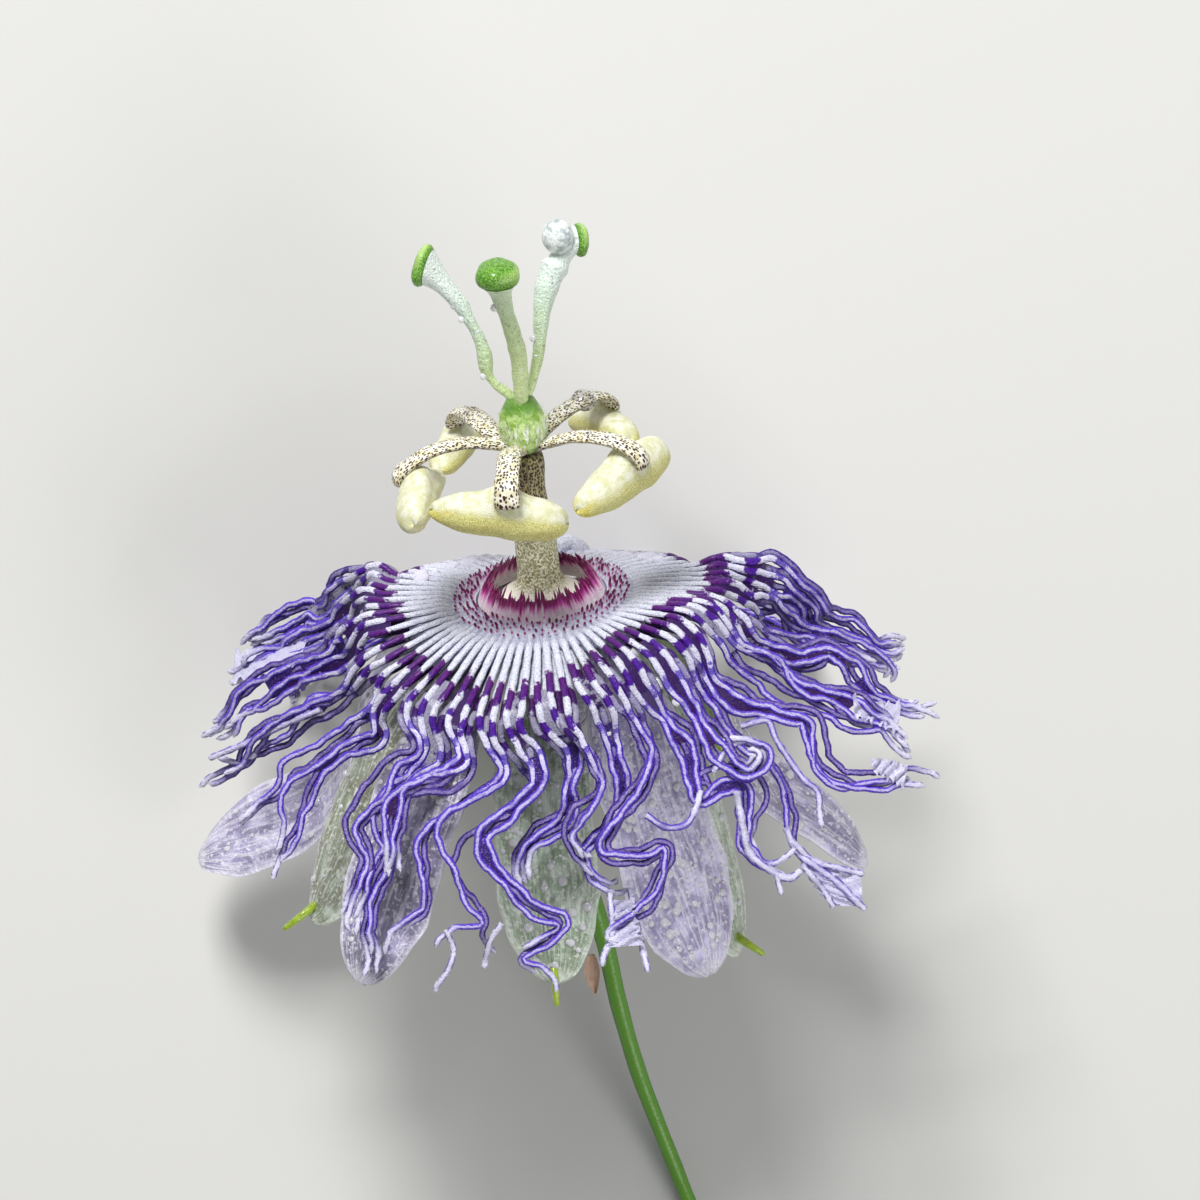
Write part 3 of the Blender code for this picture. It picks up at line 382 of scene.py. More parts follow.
class Shape:
    """Vertices in millimetres of the flower's frame, their faces, and named values per vertex."""

    def __init__(self):
        self.points = []
        self.faces = []
        self.slots = []
        self.values = {}
        self.count = 0

    def add(self, points, faces, slot=0, **values):
        points = points.reshape(-1, 3)
        for name in set(values) | set(self.values):
            stored = self.values.setdefault(name, [np.zeros(self.count)])
            value = np.asarray(values.get(name, 0.0), float).ravel()
            stored.append(np.broadcast_to(value, (len(points),)))
        self.points.append(points)
        self.faces.extend([[corner + self.count for corner in face] for face in faces])
        self.slots.extend([slot] * len(faces))
        self.count += len(points)

    def grid(self, points, wrap=False, slot=0, flip=False, **values):
        """A sheet of quads over rows of points; wrap joins each row's end to its start."""
        rows, across = points.shape[:2]
        faces = []
        for start in range(0, (rows - 1) * across, across):
            for j in range(across if wrap else across - 1):
                after = (j + 1) % across
                face = (start + j, start + after, start + across + after, start + across + j)
                faces.append(face[::-1] if flip else face)
        self.add(points, faces, slot, **values)

    def closed(self, rings, slot=0, **values):
        """A body over rings of points, with a flat face at each end; all its faces turn outward."""
        rows, across = rings.shape[:2]
        first = self.count
        last = first + (rows - 1) * across
        middles = rings.mean(axis=1)
        spokes = rings - middles[:, None]
        turning = np.cross(spokes, np.roll(spokes, -1, axis=1)).sum(axis=1)
        flip = (turning[:-1] * np.diff(middles, axis=0)).sum() < 0.0
        self.grid(rings, True, slot, flip, **values)
        ends = (list(range(first + across - 1, first - 1, -1)), list(range(last, last + across)))
        for ring in ends:
            self.faces.append(ring[::-1] if flip else ring)
            self.slots.append(slot)

    def tube(self, route, half_widths, half_heights, sides, facing, slot=0, blunt=0.0, **values):
        """A closed tube with an oval section; crown is 1 on its outward side and -1 beneath.

        A value is one for the tube, a row with one for each ring, or a grid with one for each point."""
        _, side, up = directions(route, facing)
        turn = circle(sides)
        half_widths = np.broadcast_to(half_widths, len(route)).copy()
        half_heights = np.broadcast_to(half_heights, len(route)).copy()
        if blunt:
            gone = walked(route)
            left = np.clip((gone[-1] - gone) / blunt, 0.03, 1.0)
            rounding = np.sqrt(1.0 - (1.0 - left) ** 2)
            half_widths *= rounding
            half_heights *= rounding
        rings = route[:, None] + side[:, None] * (half_widths[:, None] * np.cos(turn))[..., None]
        rings = rings + up[:, None] * (half_heights[:, None] * np.sin(turn))[..., None]
        spread = {"crown": np.tile(np.sin(turn), len(route))}
        for name, value in values.items():
            whole = np.ndim(value) == 2
            spread[name] = value if whole else np.repeat(np.broadcast_to(value, len(route)), sides)
        self.closed(rings, slot, **spread)

    def finish(self, name, materials, slot, *nodes, sharp=60.0):
        """The object of that name, laid down in the frame and riding on the root body; those nodes are
        hidden.
        """
        points = (as_it_lies(np.vstack(self.points)) + FLOWER_CENTRE) * MM
        mesh = bpy.data.meshes.new(name)
        mesh.from_pydata(points.tolist(), [], self.faces)
        mesh.polygons.foreach_set("material_index", self.slots)
        for value_name, arrays in self.values.items():
            layer = mesh.attributes.new(value_name, "FLOAT", "POINT")
            layer.data.foreach_set("value", np.concatenate(arrays).astype(np.float32))
        for material in materials:
            mesh.materials.append(material)
        mesh.shade_smooth()
        mesh.set_sharp_from_angle(angle=math.radians(sharp))
        piece = bpy.data.objects.new(name, mesh)
        bpy.context.collection.objects.link(piece)
        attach(piece, "root")
        if nodes:
            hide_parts(*nodes)
        return piece


# ---------------------------------------------------------------- material helpers


def hex_colour(code):
    """The linear colour of a hex code."""
    parts = [int(code[i : i + 2], 16) / 255.0 for i in (1, 3, 5)]
    return (*[(c / 12.92 if c <= 0.04045 else ((c + 0.055) / 1.055) ** 2.4) for c in parts], 1.0)


class Finish:
    """One material and short ways to add nodes to it. Texture places are in millimetres."""

    def __init__(self, name, **plain):
        self.material = bpy.data.materials.new(name)
        self.material.use_nodes = True
        self.tree = self.material.node_tree
        self.shader = self.tree.nodes["Principled BSDF"]
        for socket, value in plain.items():
            self.put(value, self.shader.inputs[socket.replace("_", " ")])
        where = self.node("TexCoord", "Object", {})
        self.place = self.stretched(where, (1.0 / MM,) * 3)

    def put(self, source, socket):
        """Link an output, or set a plain value or a colour's hex code, at an input."""
        if isinstance(source, bpy.types.NodeSocket):
            self.tree.links.new(source, socket)
        else:
            socket.default_value = hex_colour(source) if isinstance(source, str) else source

    def node(self, kind, output, inputs, **settings):
        """One output of a new node, with its inputs given by name or number."""
        node = self.tree.nodes.new(f"ShaderNode{kind}")
        for name, value in settings.items():
            setattr(node, name, value)
        for name, source in inputs.items():
            self.put(source, node.inputs[name])
        return node.outputs[output]

    def value(self, name):
        return self.node("Attribute", "Fac", {}, attribute_name=name)

    def stretched(self, vector, stretch):
        return self.node("Mapping", "Vector", {"Scale": stretch, "Vector": vector})

    def join(self, x, y, z):
        return self.node("CombineXYZ", "Vector", {"X": x, "Y": y, "Z": z})

    def noise(self, scale, detail=2.0, vector=None):
        inputs = {"Scale": scale, "Detail": detail, "Vector": vector or self.place}
        return self.node("TexNoise", "Fac", inputs)

    def spots(self, scale, vector=None, randomness=1.0):
        """Distance from the nearest spot's centre, and a random colour of that spot."""
        inputs = {"Scale": scale, "Randomness": randomness, "Vector": vector or self.place}
        dimensions = "3D" if vector is None else "2D"
        distance = self.node("TexVoronoi", "Distance", inputs, voronoi_dimensions=dimensions)
        return distance, distance.node.outputs["Color"]

    def math(self, operation, *values):
        return self.node("Math", "Value", dict(enumerate(values)), operation=operation)

    def plus(self, first, second):
        return self.math("ADD", first, second)

    def times(self, first, second):
        return self.math("MULTIPLY", first, second)

    def swing(self, source, amount):
        """How far a value is above a half, times an amount."""
        return self.times(self.math("SUBTRACT", source, 0.5), amount)

    def step(self, value, low, high):
        """A smooth step of a value from 0 at low to 1 at high; low may be the larger."""
        linked = isinstance(low, bpy.types.NodeSocket)
        flip = not linked and low > high
        ends = {"From Min": high if flip else low, "From Max": low if flip else high}
        range_out = {"To Min": float(flip), "To Max": float(not flip)}
        inputs = {"Value": value, **ends, **range_out}
        return self.node("MapRange", "Result", inputs, interpolation_type="SMOOTHSTEP")

    def patches(self, scale, detail, low, high):
        """Soft-edged patches of noise."""
        return self.step(self.noise(scale, detail), low, high)

    def ramp(self, value, *stops):
        """Colours or grey values between places on a scale from 0 to 1."""
        colours = self.node("ValToRGB", "Color", {"Fac": value})
        elements = colours.node.color_ramp.elements
        while len(elements) < len(stops):
            elements.new(0.5)
        for element, (place, colour) in zip(elements, stops):
            element.position = place
            element.color = hex_colour(colour) if isinstance(colour, str) else (colour, colour, colour, 1.0)
        return colours

    def mix(self, share, first, second):
        """A colour between two; each is a hex code or an output."""
        return self.node("Mix", 2, {0: share, 6: first, 7: second}, data_type="RGBA")

    def tint(self, body, colour, share, most):
        """A body colour, turned to another where a share is 1, by at most that much."""
        return self.mix(self.times(share, most), body, colour)

    def done(self, colour, roughness=None, relief=None, depth=0.0):
        """Join up the shader and give the material; relief is from 0 to 1, its depth in millimetres."""
        self.put(colour, self.shader.inputs["Base Color"])
        if roughness is not None:
            self.put(roughness, self.shader.inputs["Roughness"])
        if relief is not None:
            bump = self.node("Bump", "Normal", {"Distance": depth * MM, "Height": relief})
            self.put(bump, self.shader.inputs["Normal"])
        return self.material


# ---------------------------------------------------------------- materials


def thread_finish():
    """Corona threads: white at the root, banded purple, then violet to pale tips; painted highlight lines
    along their tops, painted shade beneath.
    """
    m = Finish("thread_violet", Coat_Weight=0.15, Coat_Roughness=0.08, Specular_IOR_Level=0.3)
    seed, crown, deep = m.value("seed"), m.value("crown"), m.value("deep")
    strayed = m.plus(m.value("along"), m.swing(seed, 2.0))
    place = m.plus(strayed, m.plus(m.swing(m.noise(1.3), 2.0), m.swing(m.noise(4.5), 0.7)))
    scale = m.math("DIVIDE", m.plus(place, 2.0), 16.0)
    white = m.ramp(
        scale, (0.0, 1.0), (0.12, 1.0), (0.135, 0.0), (0.255, 0.0), (0.27, 1.0), (0.36, 1.0),
        (0.375, 0.0), (0.44, 0.0), (0.455, 1.0), (0.56, 0.95), (0.575, 0.1), (0.615, 0.15),
        (0.635, 0.95), (0.72, 0.85), (0.75, 0.3), (0.82, 0.9), (0.87, 0.4), (0.93, 0.9), (1.0, 0.8),
    )
    dark = m.ramp(scale, (0.12, "#56006c"), (0.36, "#480088"), (0.60, "#4718b0"), (1.0, "#5a36c8"))
    # Painted highlight: pale colour shows only on the crown above this level, a thin line on the violet
    # stretch and most of the top in the white bands.
    edge = m.ramp(scale, (0.13, 0.05), (0.30, 0.25), (0.48, 0.45), (0.60, 0.80), (0.72, 0.93), (1.0, 0.95))
    jitter = m.swing(m.noise(3.0), 0.22)
    painted_lit_crown = m.step(m.plus(crown, jitter), m.math("SUBTRACT", edge, 0.10), edge)
    # The white root shows only on the thread's upper side; beneath, it takes the painted shade.
    rooted = m.times(m.step(scale, 0.14, 0.12), m.step(crown, -0.5, 0.2))
    # The lower row shows less white, as painted shade.
    shown = m.times(white, m.math("SUBTRACT", 1.0, m.times(deep, 0.6)))
    # Where the pale colour shows: the painted highlight over the white bands, and the white root.
    lit = m.math("MAXIMUM", m.times(shown, painted_lit_crown), rooted)
    grain = m.noise(7.0, 3.0)
    pale = m.ramp(scale, (0.12, "#eceefa"), (0.45, "#efedfc"), (0.72, "#e6defd"), (1.0, "#ded4fc"))
    light = m.tint(pale, "#aeadcc", m.step(grain, 0.62, 0.36), 0.65)
    # Painted shade: each thread's underside darkens from its band colour to near black.
    dark_with_painted_shade = m.mix(m.step(crown, 0.4, -0.5), dark, "#1c0650")
    # Painted shade: threads of the lower row, and the webs, are darker.
    dark_with_painted_shade = m.tint(dark_with_painted_shade, "#2a0640", deep, 0.6)
    speckle = m.times(m.step(grain, 0.52, 0.68), m.step(scale, 0.40, 0.60))
    dark_with_painted_shade = m.tint(dark_with_painted_shade, "#9c84de", speckle, 0.5)
    body = m.mix(lit, dark_with_painted_shade, light)
    faded = m.step(m.plus(m.value("tip"), m.times(seed, -2.2)), 2.4, -0.4)
    faded = m.math("MAXIMUM", faded, m.value("pale"))
    streak = m.times(m.patches(1.8, 3.0, 0.40, 0.58), m.step(crown, 1.0, 0.5))
    colour = m.mix(faded, body, m.mix(streak, "#e2e0f4", "#6a52b0"))
    relief = m.plus(m.times(m.noise(3.5), 0.7), m.times(grain, 0.6))
    return m.done(colour, m.ramp(m.noise(3.0), (0.3, 0.26), (0.7, 0.5)), relief, 0.16)


def plate_finish():
    """The fused part of the corona: frosty white, with fine grey lines, and painted lavender shade in the
    hollows between its ribs.
    """
    m = Finish("disc_white", Coat_Weight=0.15, Coat_Roughness=0.15, Specular_IOR_Level=0.3)
    spin = m.join(m.times(m.value("turn"), 0.55), m.times(m.value("out"), 0.35), 0.0)
    body = m.mix(m.patches(0.9, 4.0, 0.38, 0.62), "#f0f2ff", "#d6d9ee")
    body = m.tint(body, "#aaabca", m.patches(7.0, 3.0, 0.58, 0.36), 0.5)
    body = m.tint(body, "#9899ba", m.step(m.noise(1.0, 3.0, spin), 0.48, 0.64), 0.4)
    # Painted shade: lavender-grey darkening in the grooves between the ribs.
    body = m.tint(body, "#7a739c", m.value("hollow"), 0.7)
    body = m.tint(body, "#8d7aa8", m.patches(3.2, 2.0, 0.70, 0.78), 0.4)
    return m.done(body, 0.42, m.noise(3.8, 4.0), 0.26)


def peg_finish():
    """The short threads inside the corona: white feet and elongated dark magenta tips."""
    m = Finish("peg_white", Coat_Weight=0.2, Coat_Roughness=0.2)
    share = m.plus(m.value("share"), m.swing(m.value("seed"), 0.5))
    body = m.ramp(share, (0.40, "#f0eef8"), (0.60, "#d99cd0"), (0.72, "#8e1468"), (1.0, "#620a42"))
    return m.done(body, 0.45, m.noise(6.0), 0.05)


def operculum_finish():
    """The fringed collar: pink and white at its foot, then magenta to its dark ragged tips."""
    m = Finish("operculum_magenta", Coat_Weight=0.25, Coat_Roughness=0.2)
    seed = m.value("seed")
    share = m.plus(m.value("share"), m.swing(seed, 0.35))
    body = m.ramp(
        share, (0.0, "#fffafd"), (0.30, "#f2cfe8"), (0.50, "#cb52aa"), (0.66, "#900c6c"), (1.0, "#680642"),
    )
    streak = m.times(m.step(seed, 0.60, 0.68), m.step(share, 0.80, 0.50))
    return m.done(m.tint(body, "#f3e6f2", streak, 0.8), 0.4, m.noise(5.0), 0.08)


def dark_spots(m, dense):
    """Where dark spots lie on a strap or the column, laid out over its surface; dense is from 0 to 1."""
    place = m.join(m.value("lengthwise"), m.value("girth"), 0.0)
    distance, pick = m.spots(3.3, m.stretched(place, (0.85, 1.0, 1.0)), 0.9)
    ragged = m.swing(m.noise(9.0), 0.25)
    size = m.plus(m.times(pick, 0.26), m.plus(0.10, m.times(dense, 0.15)))
    return m.step(m.math("SUBTRACT", m.plus(distance, ragged), size), 0.03, -0.03)


def column_finish():
    """The column: grey-green and finely grained, pale at its foot, spotted brown towards its top."""
    m = Finish("column_green_beige", Coat_Weight=0.15, Coat_Roughness=0.3)
    share = m.value("share")
    body = m.mix(m.patches(5.0, 4.0, 0.40, 0.60), "#8c8250", "#fbf8de")
    body = m.tint(body, "#a8a874", m.patches(1.2, 2.0, 0.4, 0.6), 0.45)
    body = m.mix(m.step(share, 0.12, 0.02), body, "#fbf8ee")
    upper = m.step(share, 0.36, 0.62)
    body = m.tint(body, "#988a50", upper, 0.7)
    body = m.mix(m.times(dark_spots(m, upper), upper), body, "#3a1a16")
    return m.done(body, 0.5, m.noise(7.0, 3.0), 0.14)


def cup_finish():
    """The cup under the corona: green outside, cream inside."""
    m = Finish("cup_green")
    outside = m.mix(m.noise(1.1, 3.0), "#6f8a3f", "#9bb26a")
    return m.done(m.mix(m.value("inside"), outside, "#ebe6d6"), 0.5, m.noise(4.0, 3.0), 0.12)


def ovary_finish():
    """The ovary: fresh green with white silky streaks below its middle, dark at crown and foot."""
    m = Finish("ovary_green", Coat_Weight=0.3, Coat_Roughness=0.15)
    share = m.plus(m.value("share"), m.swing(m.noise(1.1), 0.3))
    silk = m.step(m.noise(2.2, 3.0, m.stretched(m.place, (1.5, 0.55, 0.55))), 0.50, 0.60)
    low = m.times(m.step(share, 0.10, 0.22), m.step(share, 0.62, 0.46))
    body = m.mix(m.patches(1.5, 3.0, 0.40, 0.60), "#93bc40", "#d4ee9c")
    body = m.tint(body, "#f0fad8", m.patches(6.0, 3.0, 0.56, 0.70), 0.4)
    body = m.mix(m.times(silk, low), body, "#fbfff4")
    body = m.tint(body, "#559018", m.step(share, 0.62, 0.92), 0.85)
    body = m.tint(body, "#4c6a18", m.step(share, 0.16, 0.02), 0.85)
    return m.done(body, 0.42, m.noise(5.0, 3.0), 0.16)


def hair_finish():
    m = Finish("ovary_hair", Roughness=0.35)
    return m.done(m.mix(m.noise(1.0), "#f2f6e6", "#d6e4bc"))


def filament_finish():
    """Stamen straps: cream, closely spotted with dark maroon, most of all at their edges and ends."""
    m = Finish("filament_cream", Coat_Weight=0.2, Coat_Roughness=0.2)
    rim = m.value("rim")
    dark = dark_spots(m, m.plus(0.35, rim))
    base = m.mix(m.patches(1.6, 3.0, 0.36, 0.64), "#fdfaee", "#e0d8b0")
    base = m.tint(base, "#b39a4a", rim, 0.6)
    body = m.mix(dark, base, m.mix(m.noise(2.0), "#1f0a0e", "#4a2226"))
    return m.done(body, 0.45, m.math("SUBTRACT", 1.0, dark), 0.05)


def anther_finish():
    """Anthers: smooth ivory above, beige and grainy below, and yellow at the ends."""
    m = Finish("anther_yellow", Coat_Weight=0.2, Coat_Roughness=0.2)
    grain = m.noise(9.0, 3.0)
    wide = m.swing(m.noise(0.9, 3.0), 0.6)
    pollen = m.plus(m.value("pollen"), wide)
    beige = m.mix(m.step(grain, 0.38, 0.62), "#c6bf6a", "#f0ec9e")
    ivory = m.mix(m.patches(1.4, 3.0, 0.38, 0.62), "#f8f8e0", "#e2e2b4")
    body = m.mix(m.step(pollen, 0.0, 0.8), ivory, beige)
    body = m.tint(body, "#b08c3c", m.step(pollen, 0.9, 1.2), 0.4)
    ends = m.step(m.plus(m.value("ends"), wide), 0.62, 1.05)
    yellow = m.mix(m.step(grain, 0.36, 0.64), "#cdbb34", "#f0e88a")
    body = m.mix(m.times(ends, m.step(pollen, 0.0, 0.4)), body, yellow)
    return m.done(body, m.ramp(pollen, (0.2, 0.34), (0.7, 0.75)), grain, 0.12)


def style_finish():
    """Styles: mint turning green downwards, mottled and beaded, with painted shade beneath; granular stigmas
    whose rim is painted paler on its lit side.
    """
    m = Finish("style_mint", Coat_Weight=0.35, Coat_Roughness=0.12)
    lengthwise = m.plus(m.value("share"), m.swing(m.noise(0.8), 0.25))
    arm = m.ramp(
        lengthwise, (0.08, "#e4f6b4"), (0.3, "#cfe3a4"), (0.6, "#d9ecd6"), (0.8, "#edf8f2"), (1.0, "#f4fbf8"),
    )
    arm = m.tint(arm, "#9ab284", m.patches(7.0, 4.0, 0.56, 0.36), 0.4)
    # Painted shade: the arms darken on their undersides.
    arm = m.tint(arm, "#8ba384", m.step(m.value("crown"), 0.1, -0.7), 0.45)
    arm = m.tint(arm, "#66745a", m.patches(2.4, 3.0, 0.62, 0.70), 0.6)
    grain = m.noise(6.5, 4.0)
    cap = m.mix(m.step(grain, 0.36, 0.64), "#357808", "#86c238")
    # Painted light: the stigma's rim turns pale on the side that faces the light.
    cap = m.tint(cap, "#c4e684", m.value("lip"), 0.85)
    milk = m.mix(m.patches(1.6, 4.0, 0.40, 0.66), "#f4faf8", "#a9b8b8")
    body = m.mix(m.value("milk"), m.mix(m.value("stigma"), arm, cap), milk)
    return m.done(body, 0.36, m.mix(m.value("stigma"), m.noise(4.0, 3.0), grain), 0.20)


def tepal_finish(name, upper, upper_dark, under, edge, dull):
    """Petals and sepals: thin, wet and veined lengthwise, with a coloured edge; some are duller."""
    m = Finish(name, Coat_Weight=0.6, Coat_Roughness=0.06)
    lane = m.join(m.times(m.value("across"), 2.2), m.times(m.value("share"), 1.2), m.value("seed"))
    vein = m.noise(1.0, 3.0, lane)
    body = m.mix(m.patches(0.5, 4.0, 0.42, 0.58), upper, upper_dark)
    body = m.mix(m.times(m.value("tint"), m.patches(0.3, 3.0, 0.30, 0.55)), body, dull)
    body = m.tint(body, edge, m.step(vein, 0.52, 0.62), 0.5)
    body = m.tint(body, dull, m.step(vein, 0.46, 0.38), 0.45)
    body = m.tint(body, edge, m.patches(2.2, 3.0, 0.56, 0.62), 0.6)
    body = m.tint(body, edge, m.value("rim"), 0.7)
    body = m.mix(m.value("under"), body, under)
    body = m.mix(m.value("awn"), body, m.mix(m.noise(1.5), "#b9d23a", "#8aab22"))
    relief = m.plus(m.times(vein, 0.8), m.times(m.noise(1.6, 4.0), 0.8))
    return m.done(body, m.ramp(m.noise(1.4), (0.35, 0.14), (0.65, 0.40)), relief, 0.42)


def water_finish(name, clearness):
    """Water: the small beads are only part clear, so that they show against pale skin."""
    m = Finish(name, Roughness=0.03, IOR=1.33, Transmission_Weight=clearness, Coat_Weight=0.5)
    return m.done("#fbfaff")


def stalk_finish():
    """The stalk: bright green, painted lighter on top and darker beneath, closely grained with pale dots."""
    m = Finish("stalk_green", Coat_Weight=0.2, Coat_Roughness=0.2)
    dots = m.step(m.spots(4.6)[0], 0.34, 0.12)
    # Painted light and shade: lighter green on the top, darker beneath.
    body = m.mix(m.step(m.value("crown"), -0.2, 0.9), "#3f7a16", "#639f2c")
    body = m.tint(body, "#a4cf5e", dots, 0.5)
    body = m.mix(m.value("cut"), body, m.mix(m.noise(6.0), "#d5dfa8", "#a9bf6c"))
    return m.done(body, 0.42, dots, 0.06)


def bract_finish():
    m = Finish("bract_tan")
    relief = m.noise(2.5, 3.0, m.stretched(m.place, (1.0, 0.3, 1.0)))
    return m.done(m.mix(m.noise(1.2, 3.0), "#e2c2aa", "#b08a72"), 0.6, relief, 0.12)


# ---------------------------------------------------------------- corona


def disc_height(azimuth, radius):
    """Top of the corona disc: level at its inner edge, drooping or lifting to the rim."""
    share = np.maximum(0.0, (radius - DISC_INNER) / (RIM_RADIUS - DISC_INNER))
    return read_round(RIM_HEIGHTS, azimuth) * share**1.4 - 0.25 * (1.0 - share)


def on_disc(azimuth, radius, sunk):
    """Points a little below the top of the corona disc."""
    return around(azimuth, radius, disc_height(azimuth, radius) - sunk)


def tip_depth(azimuth):
    """How high, as the flower lies, the tip of a corona tuft is from the corona's centre."""
    turn = math.radians(azimuth)
    radius = 24.0 + 10.0 * math.sin(turn) ** 2
    height = -28.0 + 14.0 * math.sin(turn) ** 2
    return as_it_lies(around(azimuth, radius, height))[2]


def front_route(azimuth, lift, points):
    """Centre line of a hanging tuft, from the rim to its tip, in the flower's frame."""
    home = home_azimuth(points)
    height = read_round(RIM_HEIGHTS, home)
    start = as_it_lies(around(home, RIM_RADIUS, height - 0.3))
    lead = as_it_lies(around(home, RIM_RADIUS + 0.8, height - 0.5))
    end_height = tip_depth(azimuth)
    lying = [start, lead]
    for number, (x, y) in enumerate(points, 1):
        share = number / len(points)
        swell = math.sin(math.pi * share)
        rise = 1.5 * swell * math.cos(math.radians(azimuth)) + lift * min(1.0, 3.0 * share)
        lying.append((x, y, start[2] + (end_height - start[2]) * share + rise))
    return even_route(in_flower(lying), 160)


def rear_route(azimuth, sag):
    """Centre line of a broad tuft behind, bent up to the surface."""
    points = [around(azimuth, RIM_RADIUS + 0.2, read_round(RIM_HEIGHTS, azimuth) - 0.3)]
    points += [around(azimuth, radius, height - sag) for radius, height in REAR_PROFILE]
    return rest_on_floor(even_route(points, 160), 0.45)


def rib_points(azimuth, upper):
    """The fused stretch of one thread, from where it leaves the plate's middle to the rim."""
    radius = np.arange(RIB_ROOT if upper else RIB_ROOT + 1.0, RIM_RADIUS - 0.1, 0.42)
    sunk = 0.50 - 0.42 * ease(radius, RIB_ROOT, 9.4) if upper else 0.95
    return on_disc(azimuth, radius, sunk)


def home_azimuth(points):
    """Where on the rim the ribs stand that run into a tuft with that route."""
    azimuths = np.arange(-130.0, 130.0, 0.5)
    rim = as_it_lies(around(azimuths, RIM_RADIUS + 0.5, disc_height(azimuths, RIM_RADIUS)))
    apart = np.hypot(rim[:, 0] - points[0][0], rim[:, 1] - points[0][1])
    return azimuths[np.argmin(apart)]


def thread_owners(tufts):
    """Which tuft each rib falls in with: its azimuth, and whether it is an upper one."""
    homes = [[] for _ in tufts]
    centres = np.array([tuft[0] for tuft in tufts], float)
    for step in range(2 * RIBS):
        azimuth = 180.0 * step / RIBS - 120.0
        apart = np.abs((centres - azimuth + 180.0) % 360.0 - 180.0)
        homes[int(np.argmin(apart))].append((azimuth, step % 2 == 0))
    return homes


def thread_offsets(count, gone, half_widths, rng):
    """Sideways places of a tuft's threads along its route, in millimetres."""
    length = gone[-1]
    middle = (count - 1) / 2.0
    gather = 1.0 + 0.30 * wander(gone, 9.0, rng)
    gather = gather * (1.0 - 0.45 * ease(gone, 0.7 * length, length))
    if half_widths is None:
        return [-(i - middle) * THREAD_SPACING * gather for i in range(count)]
    spread = read_curve(half_widths, gone / length)
    return [-(i - middle) / max(middle, 1.0) * spread for i in range(count)]


def add_thread(shape, azimuth, upper, route, slot, rng, bold):
    """One thread: its rib on the plate, then its own way within the tuft to a blunt tip.

    Its middle line is given back."""
    rib = rib_points(azimuth, upper)
    gone = distances(route)
    length = gone[-1]
    _, side, up = directions(route, VIEWER if bold else np.array((0.0, 0.0, 1.0)))
    settle = ease(gone, 0.0, 8.0)[:, None]
    onward = rib[-1] + unit(rib[-1] - rib[-4]) * (gone[:, None] + 0.4)
    stray = rng.uniform(0.4, 1.3) * (rng.random() < 0.35) * rng.choice((-1.0, 1.0))
    bulge = np.exp(-(((gone / length - rng.uniform(0.35, 0.75)) / 0.12) ** 2))
    sway = 0.20 * wander(gone, 6.5, rng) + 0.09 * wander(gone, 2.3, rng) + stray * bulge
    curl = rng.uniform(-1.6, 1.6) * ease(gone, length - 4.5, length + 1.0) ** 2
    depth = (0.12 if upper else -0.24) + 0.22 * wander(gone, 5.0, rng)
    within = route + side * (slot + sway + curl)[:, None] + up * depth[:, None]
    free = onward + (within - onward) * settle
    keep = gone <= length * (1.0 - rng.uniform(0.0, 0.16))
    whole = np.vstack([rib, free[keep]])
    points = rest_on_floor(even_route(whole[::2], int(route_length(whole) / 0.40)), 0.40)
    span = route_length(points)
    share = evenly(len(points))
    along = share * span - route_length(rib)
    lumps = 1.0 + 0.10 * wander(share * span, 1.9, rng) + 0.05 * wander(share * span, 0.8, rng)
    width = THREAD_HALF_WIDTH * lumps * (1.04 - 0.24 * ease(along, 6.0, span))
    height = THREAD_HALF_HEIGHT * lumps * (1.15 - 0.25 * ease(along, 0.0, 8.0))
    outward = around(azimuth, 0.3, 1.0)
    facing = outward + (VIEWER - outward) * ease(along, 0.0, 5.0)[:, None] if bold else outward
    # deep marks the lower row, which the material darkens as painted shade.
    shape.tube(
        points, width, height, 12, facing, blunt=0.3,
        along=along - read_round(BAND_STARTS, azimuth), seed=rng.random(),
        tip=(1.0 - share) * span, deep=0.0 if upper else 1.0,
    )
    return points


def add_webs(shape, lines, rng):
    """Thin skin between a tuft's neighbouring threads, wherever they run close together."""
    for first, second in zip(lines, lines[1:]):
        count = min(len(first), len(second))
        apart = np.linalg.norm(first[:count] - second[:count], axis=1)
        reach = int(count * rng.uniform(0.6, 0.9))
        start = 16
        while start < reach:
            stop = start
            while stop < reach and apart[stop] < 1.5:
                stop += 1
            if stop - start > 6:
                middle = (first[start:stop] + second[start:stop]) / 2.0
                spread = (second[start:stop] - first[start:stop]) / 2.0
                normal = unit(np.cross(np.gradient(middle, axis=0), spread)) * 0.05
                corners = [middle + spread + normal, middle - spread + normal]
                corners += [middle - spread - normal, middle + spread - normal]
                rings = np.stack(corners, axis=1)
                # deep and a low crown darken the webs as painted shade.
                shape.closed(rings, along=start * 0.4 - 6.0, seed=rng.random(), tip=9.0, deep=0.6, crown=-0.2)
            start = stop + 1


